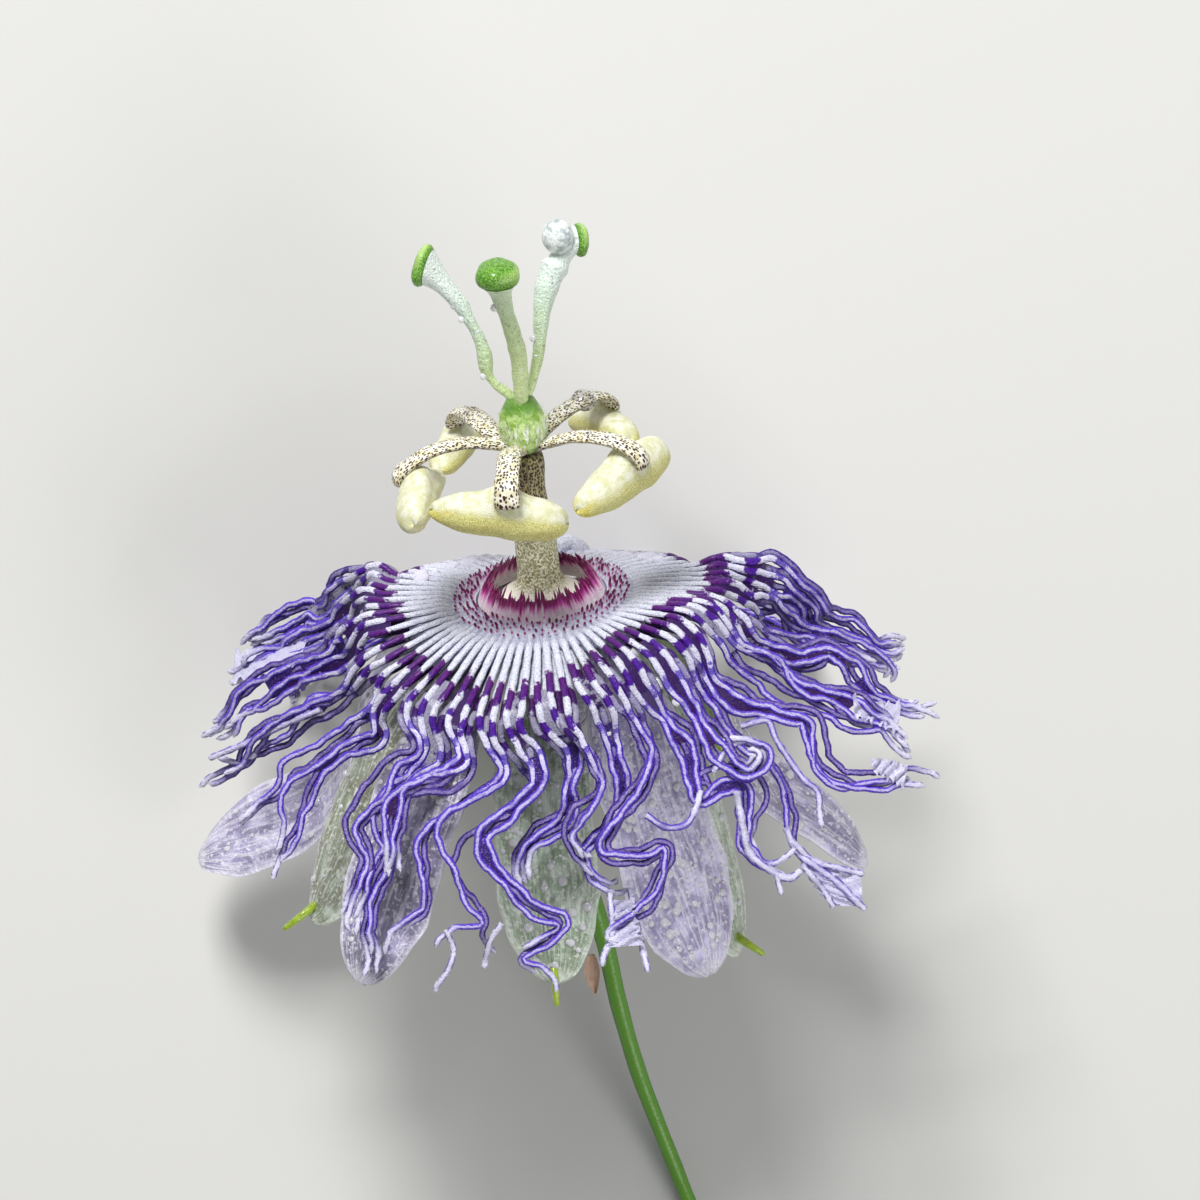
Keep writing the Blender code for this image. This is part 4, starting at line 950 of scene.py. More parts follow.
def make_threads(material):
    rng = np.random.default_rng(11)
    tufts = [(home_azimuth(tuft[2]), front_route(*tuft)) for tuft in FRONT_TUFTS]
    tufts += [(azimuth, rear_route(azimuth, sag)) for azimuth, sag in REAR_TUFTS]
    for number, ((azimuth, route), threads) in enumerate(zip(tufts, thread_owners(tufts)), 1):
        bold = number <= len(FRONT_TUFTS)
        threads.sort(key=lambda thread: (thread[0] - azimuth + 180.0) % 360.0)
        slots = thread_offsets(len(threads), distances(route), None if bold else REAR_HALF_WIDTHS, rng)
        shape = Shape()
        lines = []
        for (own, upper), slot in zip(threads, slots):
            line = add_thread(shape, own, upper, route, slot, rng, bold)
            if upper:
                lines.append(line)
        add_webs(shape, lines, rng)
        shape.finish(f"corona_threads_{number:02d}", [material], "thread_violet", f"corona_tuft_{number:02d}")


def over_tufts(routes, lines, lift):
    """Lines of x and y, laid on the tufts from their first point's height to their last one's."""
    heights = []
    for x, y in (lines[0], lines[-1]):
        apart = np.hypot(routes[:, 0] - x, routes[:, 1] - y)
        heights.append(routes[np.argmin(apart), 2] + lift)
    route = even_route(lines, 40)
    return in_flower(np.column_stack([route, np.linspace(*heights, 40)]))


def add_skin(shape, routes, first, second, rng):
    """A thin torn skin between two lines, pale with dark streaks."""
    edges = over_tufts(routes, first, 0.5), over_tufts(routes, second, 0.5)
    across = evenly(9)[None, :, None]
    middle = edges[0][:, None] * (1.0 - across) + edges[1][:, None] * across
    length = np.linspace(0.0, 12.0, len(middle))[:, None]
    torn = 0.35 * wander(length, 2.1, rng) * (2.0 * across[..., 0] - 1.0)
    middle = middle + (edges[1] - edges[0])[:, None] * (torn * 0.4)[..., None]
    middle = middle + VIEWER * (0.25 * wander(length + 5.0 * across[..., 0], 3.0, rng))[..., None]
    skin = folded(middle + VIEWER * 0.06, middle - VIEWER * 0.06)
    shape.closed(skin, pale=0.85, crown=0.9, along=12.0, seed=rng.random(), tip=9.0)


def make_loose_threads(material, water):
    """Stray strands, skins, a loop and white knobs at the back, and water drops on the corona."""
    rng = np.random.default_rng(23)
    routes = np.vstack([as_it_lies(front_route(*tuft)) for tuft in FRONT_TUFTS])
    shape = Shape()
    for pale, half_width, points in LOOSE_STRANDS:
        route = even_route(over_tufts(routes, points, 0.7), 90)
        gone = distances(route)
        route = route + VIEWER * (0.2 * wander(gone, 4.0, rng))[:, None]
        lumps = 1.0 + 0.12 * wander(gone, 1.9, rng)
        width = half_width * lumps
        shape.tube(
            route, width, width * 0.8, 12, VIEWER, blunt=0.3, pale=pale, along=gone + 8.0,
            seed=rng.random(), tip=gone[-1] - gone,
        )
    loop = even_route(in_flower(REAR_LOOP), 60)
    gone = distances(loop)
    girth = 0.78 + 0.14 * wander(gone, 3.0, rng)
    along = 4.4 * gone / gone[-1] - 4.0
    shape.tube(loop, girth, girth, 12, VIEWER, blunt=0.3, along=along, seed=0.5, tip=9.0)
    for _ in range(REAR_KNOBS):
        azimuth = rng.uniform(118.0, 242.0)
        radius = read_round(PLATE_RADII, azimuth) * rng.uniform(0.92, 0.99)
        foot = on_disc(azimuth, radius, 0.1)
        normal = unit(around(azimuth, 0.5, 1.0))
        add_bead(shape, foot, normal, rng.uniform(0.35, 0.9), 0, along=-2.0, crown=1.0)
    for first, second in SKINS:
        add_skin(shape, routes, first, second, rng)
    for x, y, radius in CROWN_DROPS:
        foot = over_tufts(routes, ((x, y), (x + 0.1, y)), 0.35)[0]
        add_bead(shape, foot, VIEWER, radius, 1)
    shape.finish("corona_loose_threads", [material, water], "thread_violet")


def make_plate(material):
    """The fused plate, ribbed on both sides, with a scalloped edge."""
    azimuth = np.arange(0.0, 360.0, 360.0 / (RIBS * 8))
    hollow = 0.5 - 0.5 * np.cos(np.radians(azimuth + 120.0) * RIBS)
    reach = read_round(PLATE_RADII, azimuth) - 0.8 * hollow
    sections = []
    hollows = []
    outs = []
    shares = np.concatenate([np.linspace(0.0, 0.97, 15), [1.0, 1.0], np.linspace(0.97, 0.0, 8)])
    drops = np.concatenate([np.zeros(15), [0.22, 0.62], np.full(8, 0.85)])
    for share, drop in zip(shares, drops):
        radius = DISC_INNER + (reach - DISC_INNER) * share
        groove = ease(radius, 6.8, 9.4) * hollow
        dent = 0.26 * groove * (1.0 if drop < 0.5 else -1.0)
        sections.append(around(azimuth, radius, disc_height(azimuth, radius) - drop - dent))
        # Each point's depth in a groove, for the painted shade there.
        hollows.append(groove)
        outs.append(radius)
    shape = Shape()
    rings = np.array([*sections, sections[0]])[::-1]
    hollow = np.array([*hollows, hollows[0]])[::-1]
    out = np.array([*outs, outs[0]])[::-1]
    shape.grid(rings, True, hollow=hollow, out=out, turn=np.tile(azimuth, len(rings)))
    shape.finish("corona_plate", [material], "disc_white", "corona_disc")


def make_pegs(material):
    """Rows of short erect threads between the plate's inner edge and its ribs."""
    rng = np.random.default_rng(5)
    shape = Shape()
    for row, (radius, tall) in enumerate(PEG_ROWS):
        for k in range(RIBS):
            azimuth = 360.0 * (k + 0.5 * (row % 2)) / RIBS + rng.uniform(-1.0, 1.0)
            foot = on_disc(azimuth, radius, 0.2)
            height = tall * rng.uniform(0.70, 1.15)
            lean = around(azimuth + rng.uniform(-30, 30), rng.uniform(0.0, 0.30), height)
            share = evenly(6)
            route = foot + lean * share[:, None] + around(azimuth, 0.12, 0.0) * (share**2)[:, None]
            girth = 0.105 * (1.0 + 0.25 * np.sin(share * math.pi))
            facing = around(azimuth, 1.0, 0.0)
            shape.tube(route, girth, girth, 6, facing, blunt=0.2, share=share, seed=rng.random())
    shape.finish("corona_pegs", [material], "disc_white")


def make_operculum(material):
    """A fringed collar that leans in to the column: a thin wall under two layers of threads."""
    rng = np.random.default_rng(8)
    shape = Shape()
    azimuth = np.arange(0.0, 360.0, 3.0)
    rings = np.array([around(azimuth, radius, height) for radius, height, _ in FRINGE_WALL])
    shares = np.repeat([share for _, _, share in FRINGE_WALL], len(azimuth))
    shape.grid(rings, True, share=shares, seed=0.5)
    for out, count in FRINGE_LAYERS:
        for k in range(count):
            turn = 360.0 * (k + rng.uniform(-0.3, 0.3)) / count
            tall = rng.uniform(0.66, 1.20)
            share = evenly(7)
            radius = 5.62 + out - 1.15 * tall * share**1.25 + rng.uniform(-0.08, 0.08) * share
            height = -0.35 + 2.25 * tall * share
            route = around(turn + rng.uniform(-1.6, 1.6) * share**2, radius, height)
            girth = 0.15 * (1.0 - 0.35 * share)
            facing = around(turn, 1.0, 0.0)
            shape.tube(route, girth, girth * 0.8, 5, facing, blunt=0.15, share=share, seed=rng.random())
    shape.finish("operculum_fringe", [material], "operculum_magenta", "operculum")


def turned_grid(outline, sides):
    """Rows of points turned round the axis, from the outline's pairs of radius and height."""
    azimuth = np.arange(0.0, 360.0, 360.0 / sides)
    return np.array([around(azimuth, max(radius, 0.005), height) for radius, height in outline]), azimuth


def make_cup(material):
    """The shallow faintly ribbed cup, turned round the axis."""
    outline = even_route((
        (0.0, -7.0), (1.5, -7.0), (3.6, -6.55), (5.8, -5.3), (7.0, -3.4), (7.1, -2.1),
        (6.4, -1.85), (4.95, -1.7), (4.2, -1.1), (2.0, -1.05), (0.0, -1.05),
    ), 46)
    grid, azimuth = turned_grid(outline, 120)
    ribbing = 1.0 + 0.018 * np.cos(np.radians(azimuth) * 10.0) * ease(-outline[:, 1], 2.0, 4.0)[:, None]
    grid[..., :2] *= ribbing[..., None]
    inside = np.repeat(ease(evenly(len(outline)), 0.52, 0.6), len(azimuth))
    shape = Shape()
    shape.grid(grid, True, inside=inside)
    shape.finish("cup", [material], "cup_green", "floral_cup")


def make_column(material):
    """The slim column on its spreading foot, faintly five-lobed."""
    outline = even_route((
        (0.0, -0.7), (3.4, -0.7), (4.1, -0.5), (3.9, -0.15), (3.1, 0.3), (2.3, 1.1), (1.95, 2.2),
        (1.9, 4.0), (1.85, 6.5), (1.5, 9.0), (1.4, 11.0), (1.55, 12.6), (1.5, 13.6), (1.2, 14.0), (0.0, 14.0),
    ), 70)
    grid, azimuth = turned_grid(outline, 64)
    lobes = 1.0 + 0.02 * np.cos(np.radians(azimuth) * 5.0)
    grid[..., :2] *= lobes[None, :, None]
    share = np.repeat(np.clip(outline[:, 1] / COLUMN_TOP, 0.0, 1.0), len(azimuth))
    shape = Shape()
    girth = np.tile(np.radians(azimuth) * COLUMN_RADIUS, len(outline))
    shape.grid(grid, True, share=share, lengthwise=share * COLUMN_TOP, girth=girth)
    shape.finish("column", [material], "column_green_beige", "androgynophore")


def ovary_radius(share):
    """The ovary's outline: full below its middle, with shoulders under the styles."""
    listed = (
        (0.0, 1.2), (0.06, 1.6), (0.2, 1.95), (0.4, 2.12), (0.55, 2.08), (0.72, 1.85), (0.88, 1.45),
        (0.96, 1.2), (1.0, 0.8),
    )
    outline = even_route(listed, 100)
    return np.interp(share, outline[:, 0], outline[:, 1])


def make_ovary(materials):
    """The egg-shaped ovary, faintly three-lobed, with short silky hairs."""
    rng = np.random.default_rng(3)
    shares = evenly(44)
    azimuth = np.arange(0.0, 360.0, 6.0)
    lobes = 1.0 + 0.035 * np.cos(np.radians(azimuth - 20.0) * 3.0)
    rings = [around(azimuth, ovary_radius(s) * lobes, OVARY_BASE + OVARY_HEIGHT * s) for s in shares]
    shape = Shape()
    shape.closed(np.array(rings), share=np.repeat(shares, len(azimuth)))
    for _ in range(OVARY_HAIRS):
        share = rng.uniform(0.10, 0.62)
        turn = rng.uniform(0.0, 360.0)
        foot = around(turn, ovary_radius(share) * 0.985, OVARY_BASE + OVARY_HEIGHT * share)
        lift = around(turn + rng.uniform(-40, 40), 0.16, rng.uniform(0.35, 0.8))
        t = evenly(4)
        route = foot + lift * t[:, None] + around(turn, 0.10, 0.0) * np.sin(t * math.pi)[:, None]
        girth = 0.028 * (1.0 - 0.7 * t)
        shape.tube(route, girth, girth, 3, around(turn, 1.0, 0.0), slot=1)
    shape.finish("ovary_body", materials, "ovary_green", "ovary")


# ---------------------------------------------------------------- stamens and styles


def strap_route(azimuth, reach, root_turn, rise, sink):
    """Middle line of a stamen's strap, from under the ovary's foot to its end on the anther."""
    profile = (
        (0.0, 1.2, 14.8), (0.0, 2.2, 15.1), (0.1, 3.4, 15.5), (0.3, 5.4, 16.0), (0.6, 8.2, 16.0),
        (0.9, 10.3, 15.4), (1.0, reach - 0.1, 14.5), (1.0, reach, 13.6),
    )
    points = []
    for share, radius, height in profile:
        lift = rise * math.sin(math.pi * share) - sink * share**2
        points.append(around(azimuth + root_turn * (1.0 - share) ** 3, radius, height + lift))
    return even_route(points, 60)


STRAP_SIDES = 24
# Water beads on each strap: how far along it, and the half width.
STRAP_BEADS = ((), ((0.45, 0.5),), ((0.42, 0.45), (0.60, 1.15)), ((0.62, 0.8),), ((0.35, 0.4),))


def make_filament(number, strap, materials):
    """A flat strap from the column's top, out and down to the anther, with a blunt spotted end."""
    rng = np.random.default_rng(20 + number)
    route = strap_route(*strap)
    azimuth = strap[0]
    share = evenly(len(route))
    lumps = 1.0 + 0.03 * wander(share * 14.0, 3.1, rng)
    width = STAMEN_HALF_WIDTH * read_curve((0.75, 0.84, 0.95, 1.0, 1.0, 0.98, 1.04, 1.10), share) * lumps
    thick = STAMEN_HALF_THICKNESS * read_curve((1.1, 1.0, 0.9, 0.9, 0.95, 1.0, 1.15), share) * lumps
    shape = Shape()
    facing = np.repeat([around(azimuth, 0.6, 1.0)], len(route), axis=0)
    turn = circle(STRAP_SIDES)
    edge = np.abs(np.cos(turn)) ** 6 * 0.45
    rim = np.maximum(ease(share, 0.93, 1.0)[:, None], edge[None, :])
    shape.tube(
        route, width, thick, STRAP_SIDES, facing, blunt=0.35, rim=rim,
        lengthwise=share * route_length(route), girth=np.tile(turn, (len(route), 1)),
    )
    for place, radius in STRAP_BEADS[number - 1]:
        at = int(place * len(route))
        foot = route[at] + VIEWER * STAMEN_HALF_THICKNESS * 0.8
        add_bead(shape, foot, unit(VIEWER + around(azimuth, 0.4, 0.6)), radius, 1)
    shape.finish(f"filament_{number}", materials, "filament_cream", f"stamen_filament_{number}")


ANTHER_RINGS = 72
ANTHER_SIDES = 44
# How beige each anther is, how thick beside the usual, and how yellow its two ends are.
ANTHER_LOOKS = (
    (1.0, 1.0, 1.0, 0.7), (0.7, 1.0, 1.0, 0.0), (0.9, 0.86, 0.6, 0.3), (0.8, 0.8, 0.3, 0.3),
    (0.4, 1.0, 0.0, 0.0),
)


def make_anther(number, strap, anther, material):
    """A plump blunt anther across the strap's end: grooved below, with a saddle under the strap."""
    rng = np.random.default_rng(40 + number)
    middle = in_flower(anther[0])
    along = unit(in_flower(anther[1]))
    toward = unit(strap_route(*strap)[-1] - middle)
    beige, plump, *yellows = ANTHER_LOOKS[number - 1]
    place = -np.cos(math.pi * np.linspace(0.015, 0.985, ANTHER_RINGS))
    full = (1.0 - np.abs(place) ** 3.2) ** 0.5 * (1.0 + 0.10 * place)
    sag = -toward * (0.75 * place**2 - 0.2)[:, None]
    body = middle + along * (ANTHER_HALF_LENGTH * place)[:, None] + sag
    _, side, up = directions(body, np.repeat([toward], ANTHER_RINGS, axis=0))
    turn = circle(ANTHER_SIDES)
    swell = plump * (1.05 + 0.04 * wander(place * 6.0, 4.0, rng))
    groove = 1.0 - 0.20 * np.exp(-(((turn - 1.5 * math.pi) / 0.24) ** 2))
    crease = 1.0 - 0.07 * np.exp(-(((np.abs(turn - math.pi / 2.0) - 0.62 * math.pi) / 0.16) ** 2))
    section = groove * crease
    across = (ANTHER_HALF_WIDTH * full * swell)[:, None] * np.cos(turn) * section
    deep = (ANTHER_HALF_DEPTH * full * swell)[:, None] * np.sin(turn) * section
    surface = body[:, None] + side[:, None] * across[..., None] + up[:, None] * deep[..., None]
    upward = unit(0.35 * toward + np.array((0.0, 0.0, 1.0)))
    saddle = np.exp(-((place / 0.22) ** 2))[:, None] * ease((surface - body[:, None]) @ upward, 0.2, 1.5)
    surface = surface + (upward * 1.1) * saddle[..., None]
    lobes = ease(np.abs(place), 0.7, 1.0)[:, None] * (np.cos(turn) ** 2 - 0.5)
    surface = surface + along * (0.3 * np.sign(place)[:, None] * lobes)[..., None]
    pollen = beige * ease(-(unit(surface - body[:, None]) @ upward), -1.0, 0.0)
    shape = Shape()
    ends = np.abs(place) * np.where(place < 0.0, yellows[0], yellows[1])
    shape.closed(surface, pollen=pollen, ends=np.repeat(ends, ANTHER_SIDES))
    shape.finish(f"anther_body_{number}", [material], "anther_yellow", f"anther_{number}")


# Styles: where the arms meet, the half widths along each arm up to where it flares, how far along it
# that is, how pale the arm turns, how thick its stigma is, and how wide; and the outline of a stigma,
# how far forward and how wide.
STYLE_ROOT = 18.4
STYLE_SIDES = 36
FLARE_RINGS = 16
STYLE_RADII = (
    (0.50, 0.46, 0.42, 0.38, 0.66, 0.70, 0.52, 0.50, 0.58, 0.74),
    (0.62, 0.64, 0.68, 0.72, 0.76, 0.78, 0.76, 0.72, 0.72, 0.80),
    (0.34, 0.38, 0.44, 0.50, 0.55, 0.62, 0.78, 0.96, 1.12, 1.26),
)
STYLE_FLARES = (0.76, 0.88, 0.84)
STYLE_PALENESS = (1.0, 0.5, 1.0)
STIGMA_SIZES = ((1.25, 1.9), (2.0, 1.95), (1.15, 1.5))
STIGMA_PROFILE = (
    (-0.5, 0.72), (-0.36, 0.90), (-0.15, 1.0), (0.12, 1.0), (0.32, 0.90), (0.46, 0.70), (0.54, 0.42),
    (0.58, 0.2), (0.6, 0.01),
)

# Water on the styles: drops at their edges, and a milky one beside the right stigma, each with
# its middle as the flower lies and its half width.
STYLE_DROPS = (
    ((-7.65, 25.45, 11.7), 0.36), ((-7.0, 24.2, 11.4), 0.30), ((-5.1, 19.2, 9.3), 0.30),
    ((-4.05, 25.1, 15.3), 0.34), ((-0.65, 22.6, 9.4), 0.32), ((1.65, 27.9, 10.2), 0.34),
    ((2.85, 29.6, 10.0), 0.34),
)
MILKY_DROP = ((1.55, 31.6, 10.9), 1.45)


def make_style(number, bends, centre, way, materials):
    """An arm that flares into the back of a broad, lobed stigma, with beads of water on it."""
    rng = np.random.default_rng(60 + number)
    middle = in_flower(centre)
    ahead = unit(in_flower(way))
    thick, broad = STIGMA_SIZES[number - 1]
    whole = even_route([(0.0, 0.0, STYLE_ROOT), *in_flower(bends), middle - ahead * 0.9], 110)
    flare = STYLE_FLARES[number - 1]
    kept = int(flare * len(whole))
    route = whole[:kept]
    share = np.linspace(0.0, flare, kept)
    radii = read_curve(STYLE_RADII[number - 1], share / share[-1])
    radii = radii * (1.0 + 0.05 * wander(share * 14.0, 2.6, rng))
    _, side, up = directions(route, VIEWER + 1e-3)
    turn = circle(STYLE_SIDES)
    rings = [p + spokes(s, u, STYLE_SIDES) * r for p, s, u, r in zip(route, side, up, radii)]
    flat = unit(side[-1] - ahead * side[-1].dot(ahead))
    steep = np.cross(flat, ahead)
    cap_ring = middle - ahead * 0.2 + spokes(flat, steep, STYLE_SIDES) * broad * 0.88
    for t in evenly(FLARE_RINGS)[1:]:
        ring = rings[kept - 1] * (1.0 - t) + cap_ring * t
        rings.append(ring + (ring.mean(axis=0) - ring) * 0.20 * math.sin(math.pi * t))
    shape = Shape()
    paleness = STYLE_PALENESS[number - 1]
    shares = np.concatenate([share, np.linspace(flare, 1.0, FLARE_RINGS)[1:]]) * paleness
    crown = np.tile(np.sin(turn), len(rings))
    shape.closed(np.array(rings), share=np.repeat(shares, STYLE_SIDES), crown=crown)
    profile = even_route(STIGMA_PROFILE, 30)
    phases = rng.uniform(0.0, 6.0, 2)
    lobed = 1.0 + 0.05 * np.cos(3.0 * turn + phases[0]) + 0.03 * np.cos(6.0 * turn + phases[1])
    brim = spokes(flat, steep * 0.94, STYLE_SIDES) * lobed[:, None] * broad
    rings = [middle + ahead * (forward + 0.3) * thick + brim * radius for forward, radius in profile]
    # Painted light: the rim is paler where it faces right, away and up as the flower lies, and darker away
    # from there.
    lit = ease(unit(brim) @ in_flower((0.5, 0.8, 0.3)), -0.5, 0.8)
    lip = (ease(profile[:, 1], 0.70, 0.98) * ease(profile[:, 0], -0.3, 0.1))[:, None] * lit
    shape.closed(np.array(rings), stigma=1.0, share=1.0, lip=lip)
    for _ in range(5):
        at = int(rng.uniform(0.25, 0.95) * kept)
        normal = unit(VIEWER + rng.uniform(-0.8, 0.8, 3))
        add_bead(shape, route[at] + normal * radii[at] * 0.92, normal, rng.uniform(0.12, 0.24), 1)
    for place, radius in STYLE_DROPS:
        if np.linalg.norm(as_it_lies(route) - place, axis=1).min() < 1.6:
            add_drop(shape, in_flower(place), radius, 1)
    if number == 3:
        add_drop(shape, in_flower(MILKY_DROP[0]), MILKY_DROP[1], 0, milk=1.0)
    shape.finish(f"style_arm_{number}", materials, "style_mint", f"style_{number}")


# ---------------------------------------------------------------- tepals, stalk and bract

# The outline that all tepals share: how wide, beside the widest place, at shares of the length.
TEPAL_SHARES = (0.0, 0.08, 0.18, 0.3, 0.42, 0.54, 0.66, 0.77, 0.86, 0.93, 0.975, 1.0)
TEPAL_WIDTHS = (0.4, 0.55, 0.72, 0.88, 0.96, 1.0, 1.0, 0.95, 0.84, 0.64, 0.4, 0.14)
TEPAL_ROWS = 80
TEPAL_COLUMNS = 29


def tepal_surface(tepal, root_height, share, across, phase):
    """Middle surface of a tepal, at shares of its length and from -1 to 1 across it."""
    azimuth, tip_radius, tip_height, twist, half_width, drift, sag = tepal
    outline = even_route(np.stack([TEPAL_SHARES, TEPAL_WIDTHS], axis=-1) * (8.0, 1.0), 200)
    width = np.interp(share * 8.0, outline[:, 0], outline[:, 1])
    dip = sag * np.sin(math.pi * np.maximum(0.0, (share - 0.2) / 0.8)) ** 2
    radius = TEPAL_ROOT_RADIUS + (tip_radius - TEPAL_ROOT_RADIUS) * share**0.85 - dip
    height = root_height + (tip_height - root_height) * share**1.15 - dip
    turn = math.radians(twist) * np.minimum(1.0, 2.0 * share)
    ragged = 1.0 + 0.035 * np.sin(17.0 * share + phase) + 0.02 * np.sin(41.0 * share + 2.0 * phase)
    reach = half_width * width * across * ragged
    offset = reach * np.cos(turn)
    spread = np.degrees(np.arctan2(offset, radius))
    edge_wave = np.abs(across) ** 3 * 0.45 * np.sin(13.0 * share + phase + np.sign(across))
    furrows = 0.12 * np.sin(9.0 * across + 3.0 * share + phase)
    furrows = furrows + 0.18 * np.sin(7.0 * share + 2.2 * across + phase)
    furrows = furrows + 0.08 * np.sin(23.0 * share + 5.0 * across + 2.0 * phase)
    cupped = height - 0.7 * across**2 * width - reach * np.sin(turn) + (edge_wave + furrows) * width
    heading = azimuth + drift * share**2
    return rest_on_floor(around(heading + spread, np.hypot(radius, offset), cupped), 0.25)


def add_bead(shape, foot, normal, radius, slot, **values):
    """A flattened water bead that sits on a surface."""
    side = unit(np.cross(normal, (0.31, 0.52, 0.79)))
    around_it = spokes(side, np.cross(normal, side), 14)
    rings = []
    for angle in np.radians(np.linspace(-20.0, 86.0, 8)):
        lift = normal * (0.62 * radius * math.sin(angle))
        rings.append(foot + lift + around_it * (radius * math.cos(angle)))
    shape.closed(np.array(rings), slot, **values)


def add_drop(shape, middle, radius, slot, **values):
    """A nearly round water drop."""
    turn = np.degrees(circle(32))
    rings = []
    for angle in np.radians(np.linspace(-88.0, 88.0, 22)):
        rings.append(middle + around(turn, radius * math.cos(angle), 1.1 * radius * math.sin(angle)))
    shape.closed(np.array(rings), slot, **values)


def tepal_shape(tepal, root_height, awn, look, seed):
    """A thin blade with waved edges and water beads; a sepal has a keel below and ends in an awn."""
    tint, beads = look
    rng = np.random.default_rng(seed)
    phase = rng.uniform(0.0, 6.0)
    grid_shape = (TEPAL_ROWS, TEPAL_COLUMNS)
    share = np.broadcast_to(evenly(TEPAL_ROWS)[:, None], grid_shape)
    across = np.broadcast_to(np.linspace(-1.0, 1.0, TEPAL_COLUMNS)[None], grid_shape)
    middle = tepal_surface(tepal, root_height, share, across, phase)
    normal = unit(np.cross(np.gradient(middle, axis=0), np.gradient(middle, axis=1)))
    thick = 0.19 * (1.0 - 0.6 * np.abs(across) ** 4)[..., None]
    keel = 0.0 if awn is None else 0.55 * np.exp(-((across / 0.16) ** 2))[..., None]
    upper = middle + normal * thick
    lower = rest_on_floor(middle - normal * (thick + keel * (1.0 - 0.5 * share[..., None])), 0.04)
    rim = ease(np.maximum(np.abs(across), ease(share, 0.8, 1.0)), 0.86, 1.0)
    under = folded(np.zeros(grid_shape), np.full(grid_shape, 0.8))
    shape = Shape()
    shape.closed(
        folded(upper, lower), share=folded(share, share) * 8.0, across=folded(across, across) * tepal[4],
        rim=folded(rim, rim), under=under, seed=phase, tint=tint,
    )
    if awn is not None:
        tip = middle[-4, TEPAL_COLUMNS // 2]
        t = evenly(20)
        lift = VIEWER * (0.5 * np.sin(t * math.pi))[:, None]
        route = rest_on_floor(tip + in_flower(awn) * t[:, None] + lift, 0.45)
        shape.tube(route, 0.42 - 0.16 * t, 0.36 - 0.12 * t, 12, VIEWER, blunt=0.4, awn=1.0)
    for _ in range(beads):
        i = int(rng.uniform(0.25, 0.95) * TEPAL_ROWS)
        j = int(rng.uniform(0.08, 0.92) * TEPAL_COLUMNS)
        radius = 0.16 + 0.34 * rng.random() ** 1.7
        if as_it_lies(upper[i, j])[2] > FLOOR + 0.7:
            add_bead(shape, upper[i, j], normal[i, j], radius, 1)
    return shape


def make_tepals(water):
    petal = tepal_finish("petal_lavender", "#ddd7f6", "#aca4cb", "#c4bed0", "#f8f5ff", "#857e98")
    sepal = tepal_finish("sepal_grey_green", "#d4e4d2", "#a2b89c", "#8ba062", "#f0f6ea", "#858670")
    kinds = (
        ("petal", 100, "petal_lavender", petal, PETALS, PETAL_ROOT_HEIGHT, (None,) * 5, PETAL_LOOKS),
        ("sepal", 200, "sepal_grey_green", sepal, SEPALS, SEPAL_ROOT_HEIGHT, AWNS, SEPAL_LOOKS),
    )
    for kind, seed, slot, skin, tepals, root_height, awns, looks in kinds:
        for number, (tepal, awn, look) in enumerate(zip(tepals, awns, looks), 1):
            shape = tepal_shape(tepal, root_height, awn, look, seed + number)
            shape.finish(f"{kind}_blade_{number}", [skin, water], slot, f"{kind}_{number}", sharp=75.0)


def make_stalk(material):
    """A tapering stem with a hollowed cut end."""
    rng = np.random.default_rng(71)
    top = np.array([[0.0, 0.0, -7.2]])
    route = even_route(np.vstack([top, in_flower(STALK)]), 220)
    share = evenly(len(route))
    radii = (1.0 - 0.35 * share) * (1.0 + 0.03 * wander(share * 66.0, 9.0, rng))
    radii = radii * (1.0 + 0.35 * np.exp(-((share / 0.03) ** 2)))
    shape = Shape()
    shape.tube(route, radii, radii, STALK_SIDES, VIEWER + 1e-3)
    onward = unit(route[-1] - route[-2])
    end = route[-1] + onward * 0.02
    _, side, up = directions(route, VIEWER + 1e-3)
    rim = spokes(side[-1], up[-1], STALK_SIDES) * radii[-1] * 0.99
    hollow = ((1.0, 0.0), (0.8, 0.0), (0.62, -0.12), (0.3, -0.2), (0.02, -0.2))
    rings = [end + rim * radius + onward * (inward + 0.02) for radius, inward in hollow]
    shape.grid(np.array(rings), True, cut=1.0)
    shape.finish("stalk", [material], "stalk_green", "peduncle")


def make_bract(material):
    """A small dry scale on the stalk, hollowed along its middle."""
    foot, tip = in_flower(BRACT_FOOT), in_flower(BRACT_TIP)
    sideways = in_flower(unit(np.array((0.90, 0.15, 0.40))))
    out = unit(np.cross(tip - foot, sideways))
    t = evenly(26)[:, None]
    a = np.linspace(-1.0, 1.0, 11)[None, :]
    width = 0.78 * np.sin(math.pi * (0.12 + 0.85 * t)) ** 0.7 * (1.0 - 0.55 * t**3)
    centre = foot + (tip - foot) * t[..., None] + out * (0.25 * np.sin(3.0 * t))[..., None]
    middle = centre + sideways * (width * a)[..., None] + out * (0.28 * a**2)[..., None]
    normal = out * 0.08
    shape = Shape()
    shape.closed(folded(middle + normal, middle - normal))
    shape.finish("bract_scale", [material], "bract_tan", "bract")


# ---------------------------------------------------------------- stage

# Sizes of the stage in metres. A lamp is its name, place, width and power. The camera is given from
# the corona's centre, in millimetres.
FLOOR_HALF = 4.0
SKY_COLOUR = (0.92, 0.95, 1.0, 1.0)
SKY_STRENGTH = 0.21
LAMPS = (("key", (-0.15, 0.50, 0.50), 0.24, 5.4), ("fill", (0.40, -0.40, 0.5), 0.4, 2.3))
LIT_POINT = (0.0, 0.0, 0.02)
CAMERA_LENS = 250.0
SENSOR_WIDTH = 36.0
CAMERA_FROM_FLOWER = np.array((5.31, -0.72, 752.0))


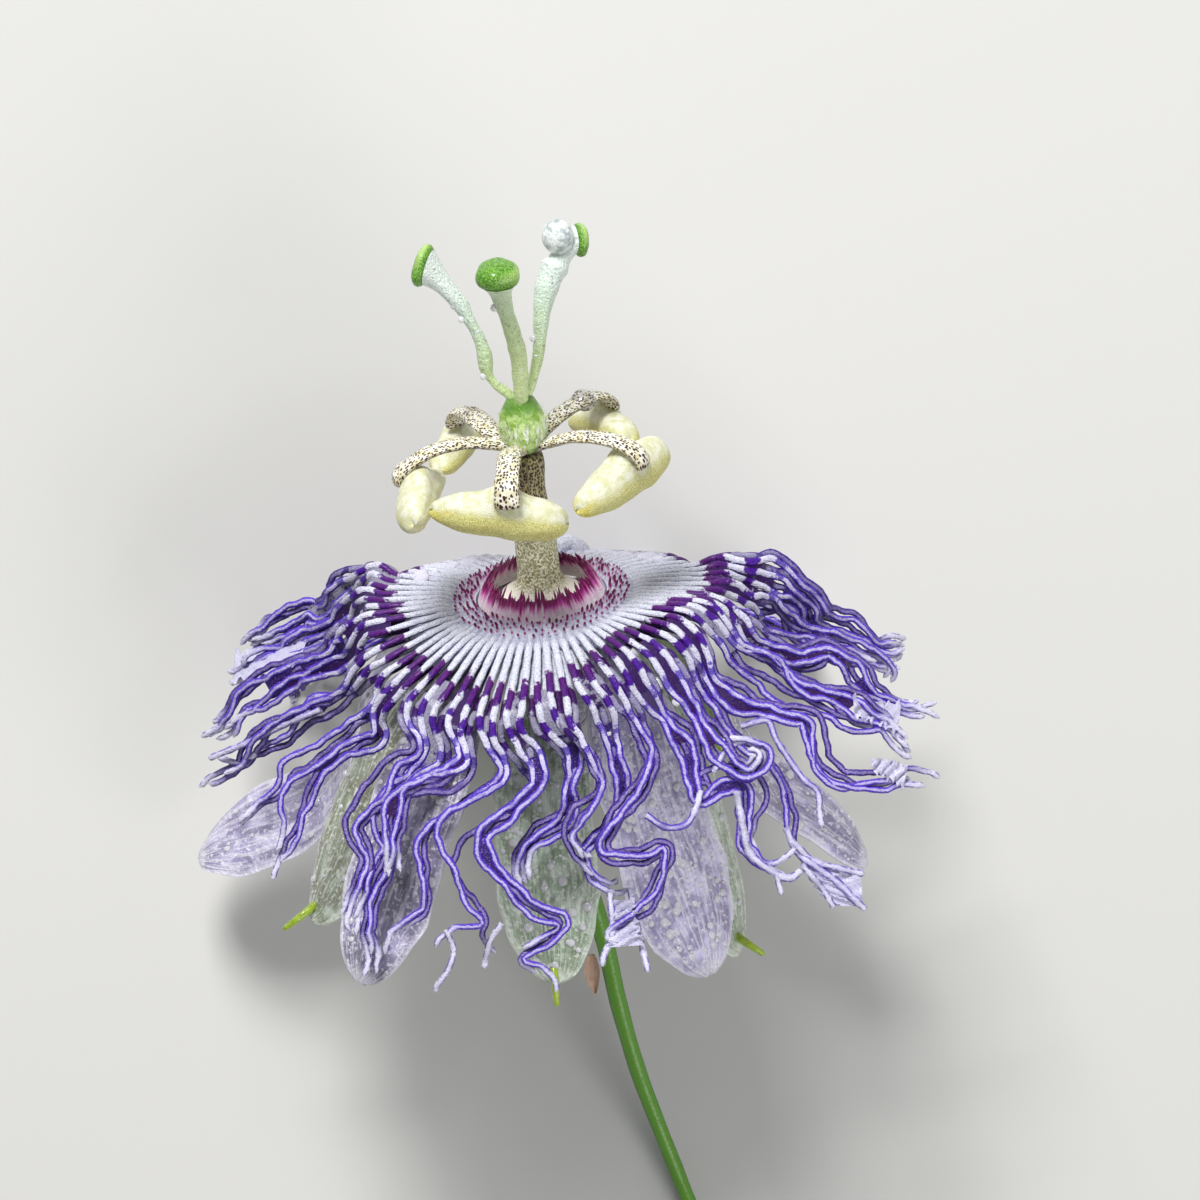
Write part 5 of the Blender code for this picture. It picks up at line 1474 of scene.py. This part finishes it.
def make_stage():
    """A plain pale floor, soft studio light, and a camera that looks straight down."""
    pale = Finish("floor_pale", Roughness=0.9).done("#d9d8d4")
    mesh = bpy.data.meshes.new("floor")
    corners = [(x * FLOOR_HALF, y * FLOOR_HALF, 0.0) for x, y in ((-1, -1), (1, -1), (1, 1), (-1, 1))]
    mesh.from_pydata(corners, [], [(0, 1, 2, 3)])
    mesh.materials.append(pale)
    floor = bpy.data.objects.new("floor", mesh)
    bpy.context.collection.objects.link(floor)

    world = bpy.data.worlds.new("studio")
    world.use_nodes = True
    background = world.node_tree.nodes["Background"]
    background.inputs["Color"].default_value = SKY_COLOUR
    background.inputs["Strength"].default_value = SKY_STRENGTH
    bpy.context.scene.world = world
    bpy.context.scene.view_settings.view_transform = "Standard"

    for name, place, size, power in LAMPS:
        lamp = bpy.data.lights.new(name, "AREA")
        lamp.size = size
        lamp.energy = power
        holder = bpy.data.objects.new(name, lamp)
        holder.location = place
        holder.rotation_euler = (Vector(LIT_POINT) - Vector(place)).to_track_quat("-Z", "Y").to_euler()
        bpy.context.collection.objects.link(holder)

    camera = bpy.data.cameras.new("camera")
    camera.lens = CAMERA_LENS
    camera.sensor_width = SENSOR_WIDTH
    camera.clip_start = 0.01
    eye = bpy.data.objects.new("camera", camera)
    eye.location = Vector(FLOWER_CENTRE + CAMERA_FROM_FLOWER) * MM
    bpy.context.collection.objects.link(eye)
    bpy.context.scene.camera = eye


def main():
    water = water_finish("water_beads", 0.35)
    clear_water = water_finish("water_clear", 0.95)
    make_stage()
    make_stalk(stalk_finish())
    make_bract(bract_finish())
    make_cup(cup_finish())
    make_tepals(water)
    make_plate(plate_finish())
    thread = thread_finish()
    make_threads(thread)
    make_loose_threads(thread, water)
    make_pegs(peg_finish())
    make_operculum(operculum_finish())
    make_column(column_finish())
    make_ovary([ovary_finish(), hair_finish()])
    filament = filament_finish()
    pollen = anther_finish()
    for number, (strap, anther) in enumerate(zip(STRAPS, ANTHERS), 1):
        make_filament(number, strap, [filament, clear_water])
        make_anther(number, strap, anther, pollen)
    style = style_finish()
    for number, (bends, centre, way) in enumerate(STYLES, 1):
        make_style(number, bends, centre, way, [style, water])


main()
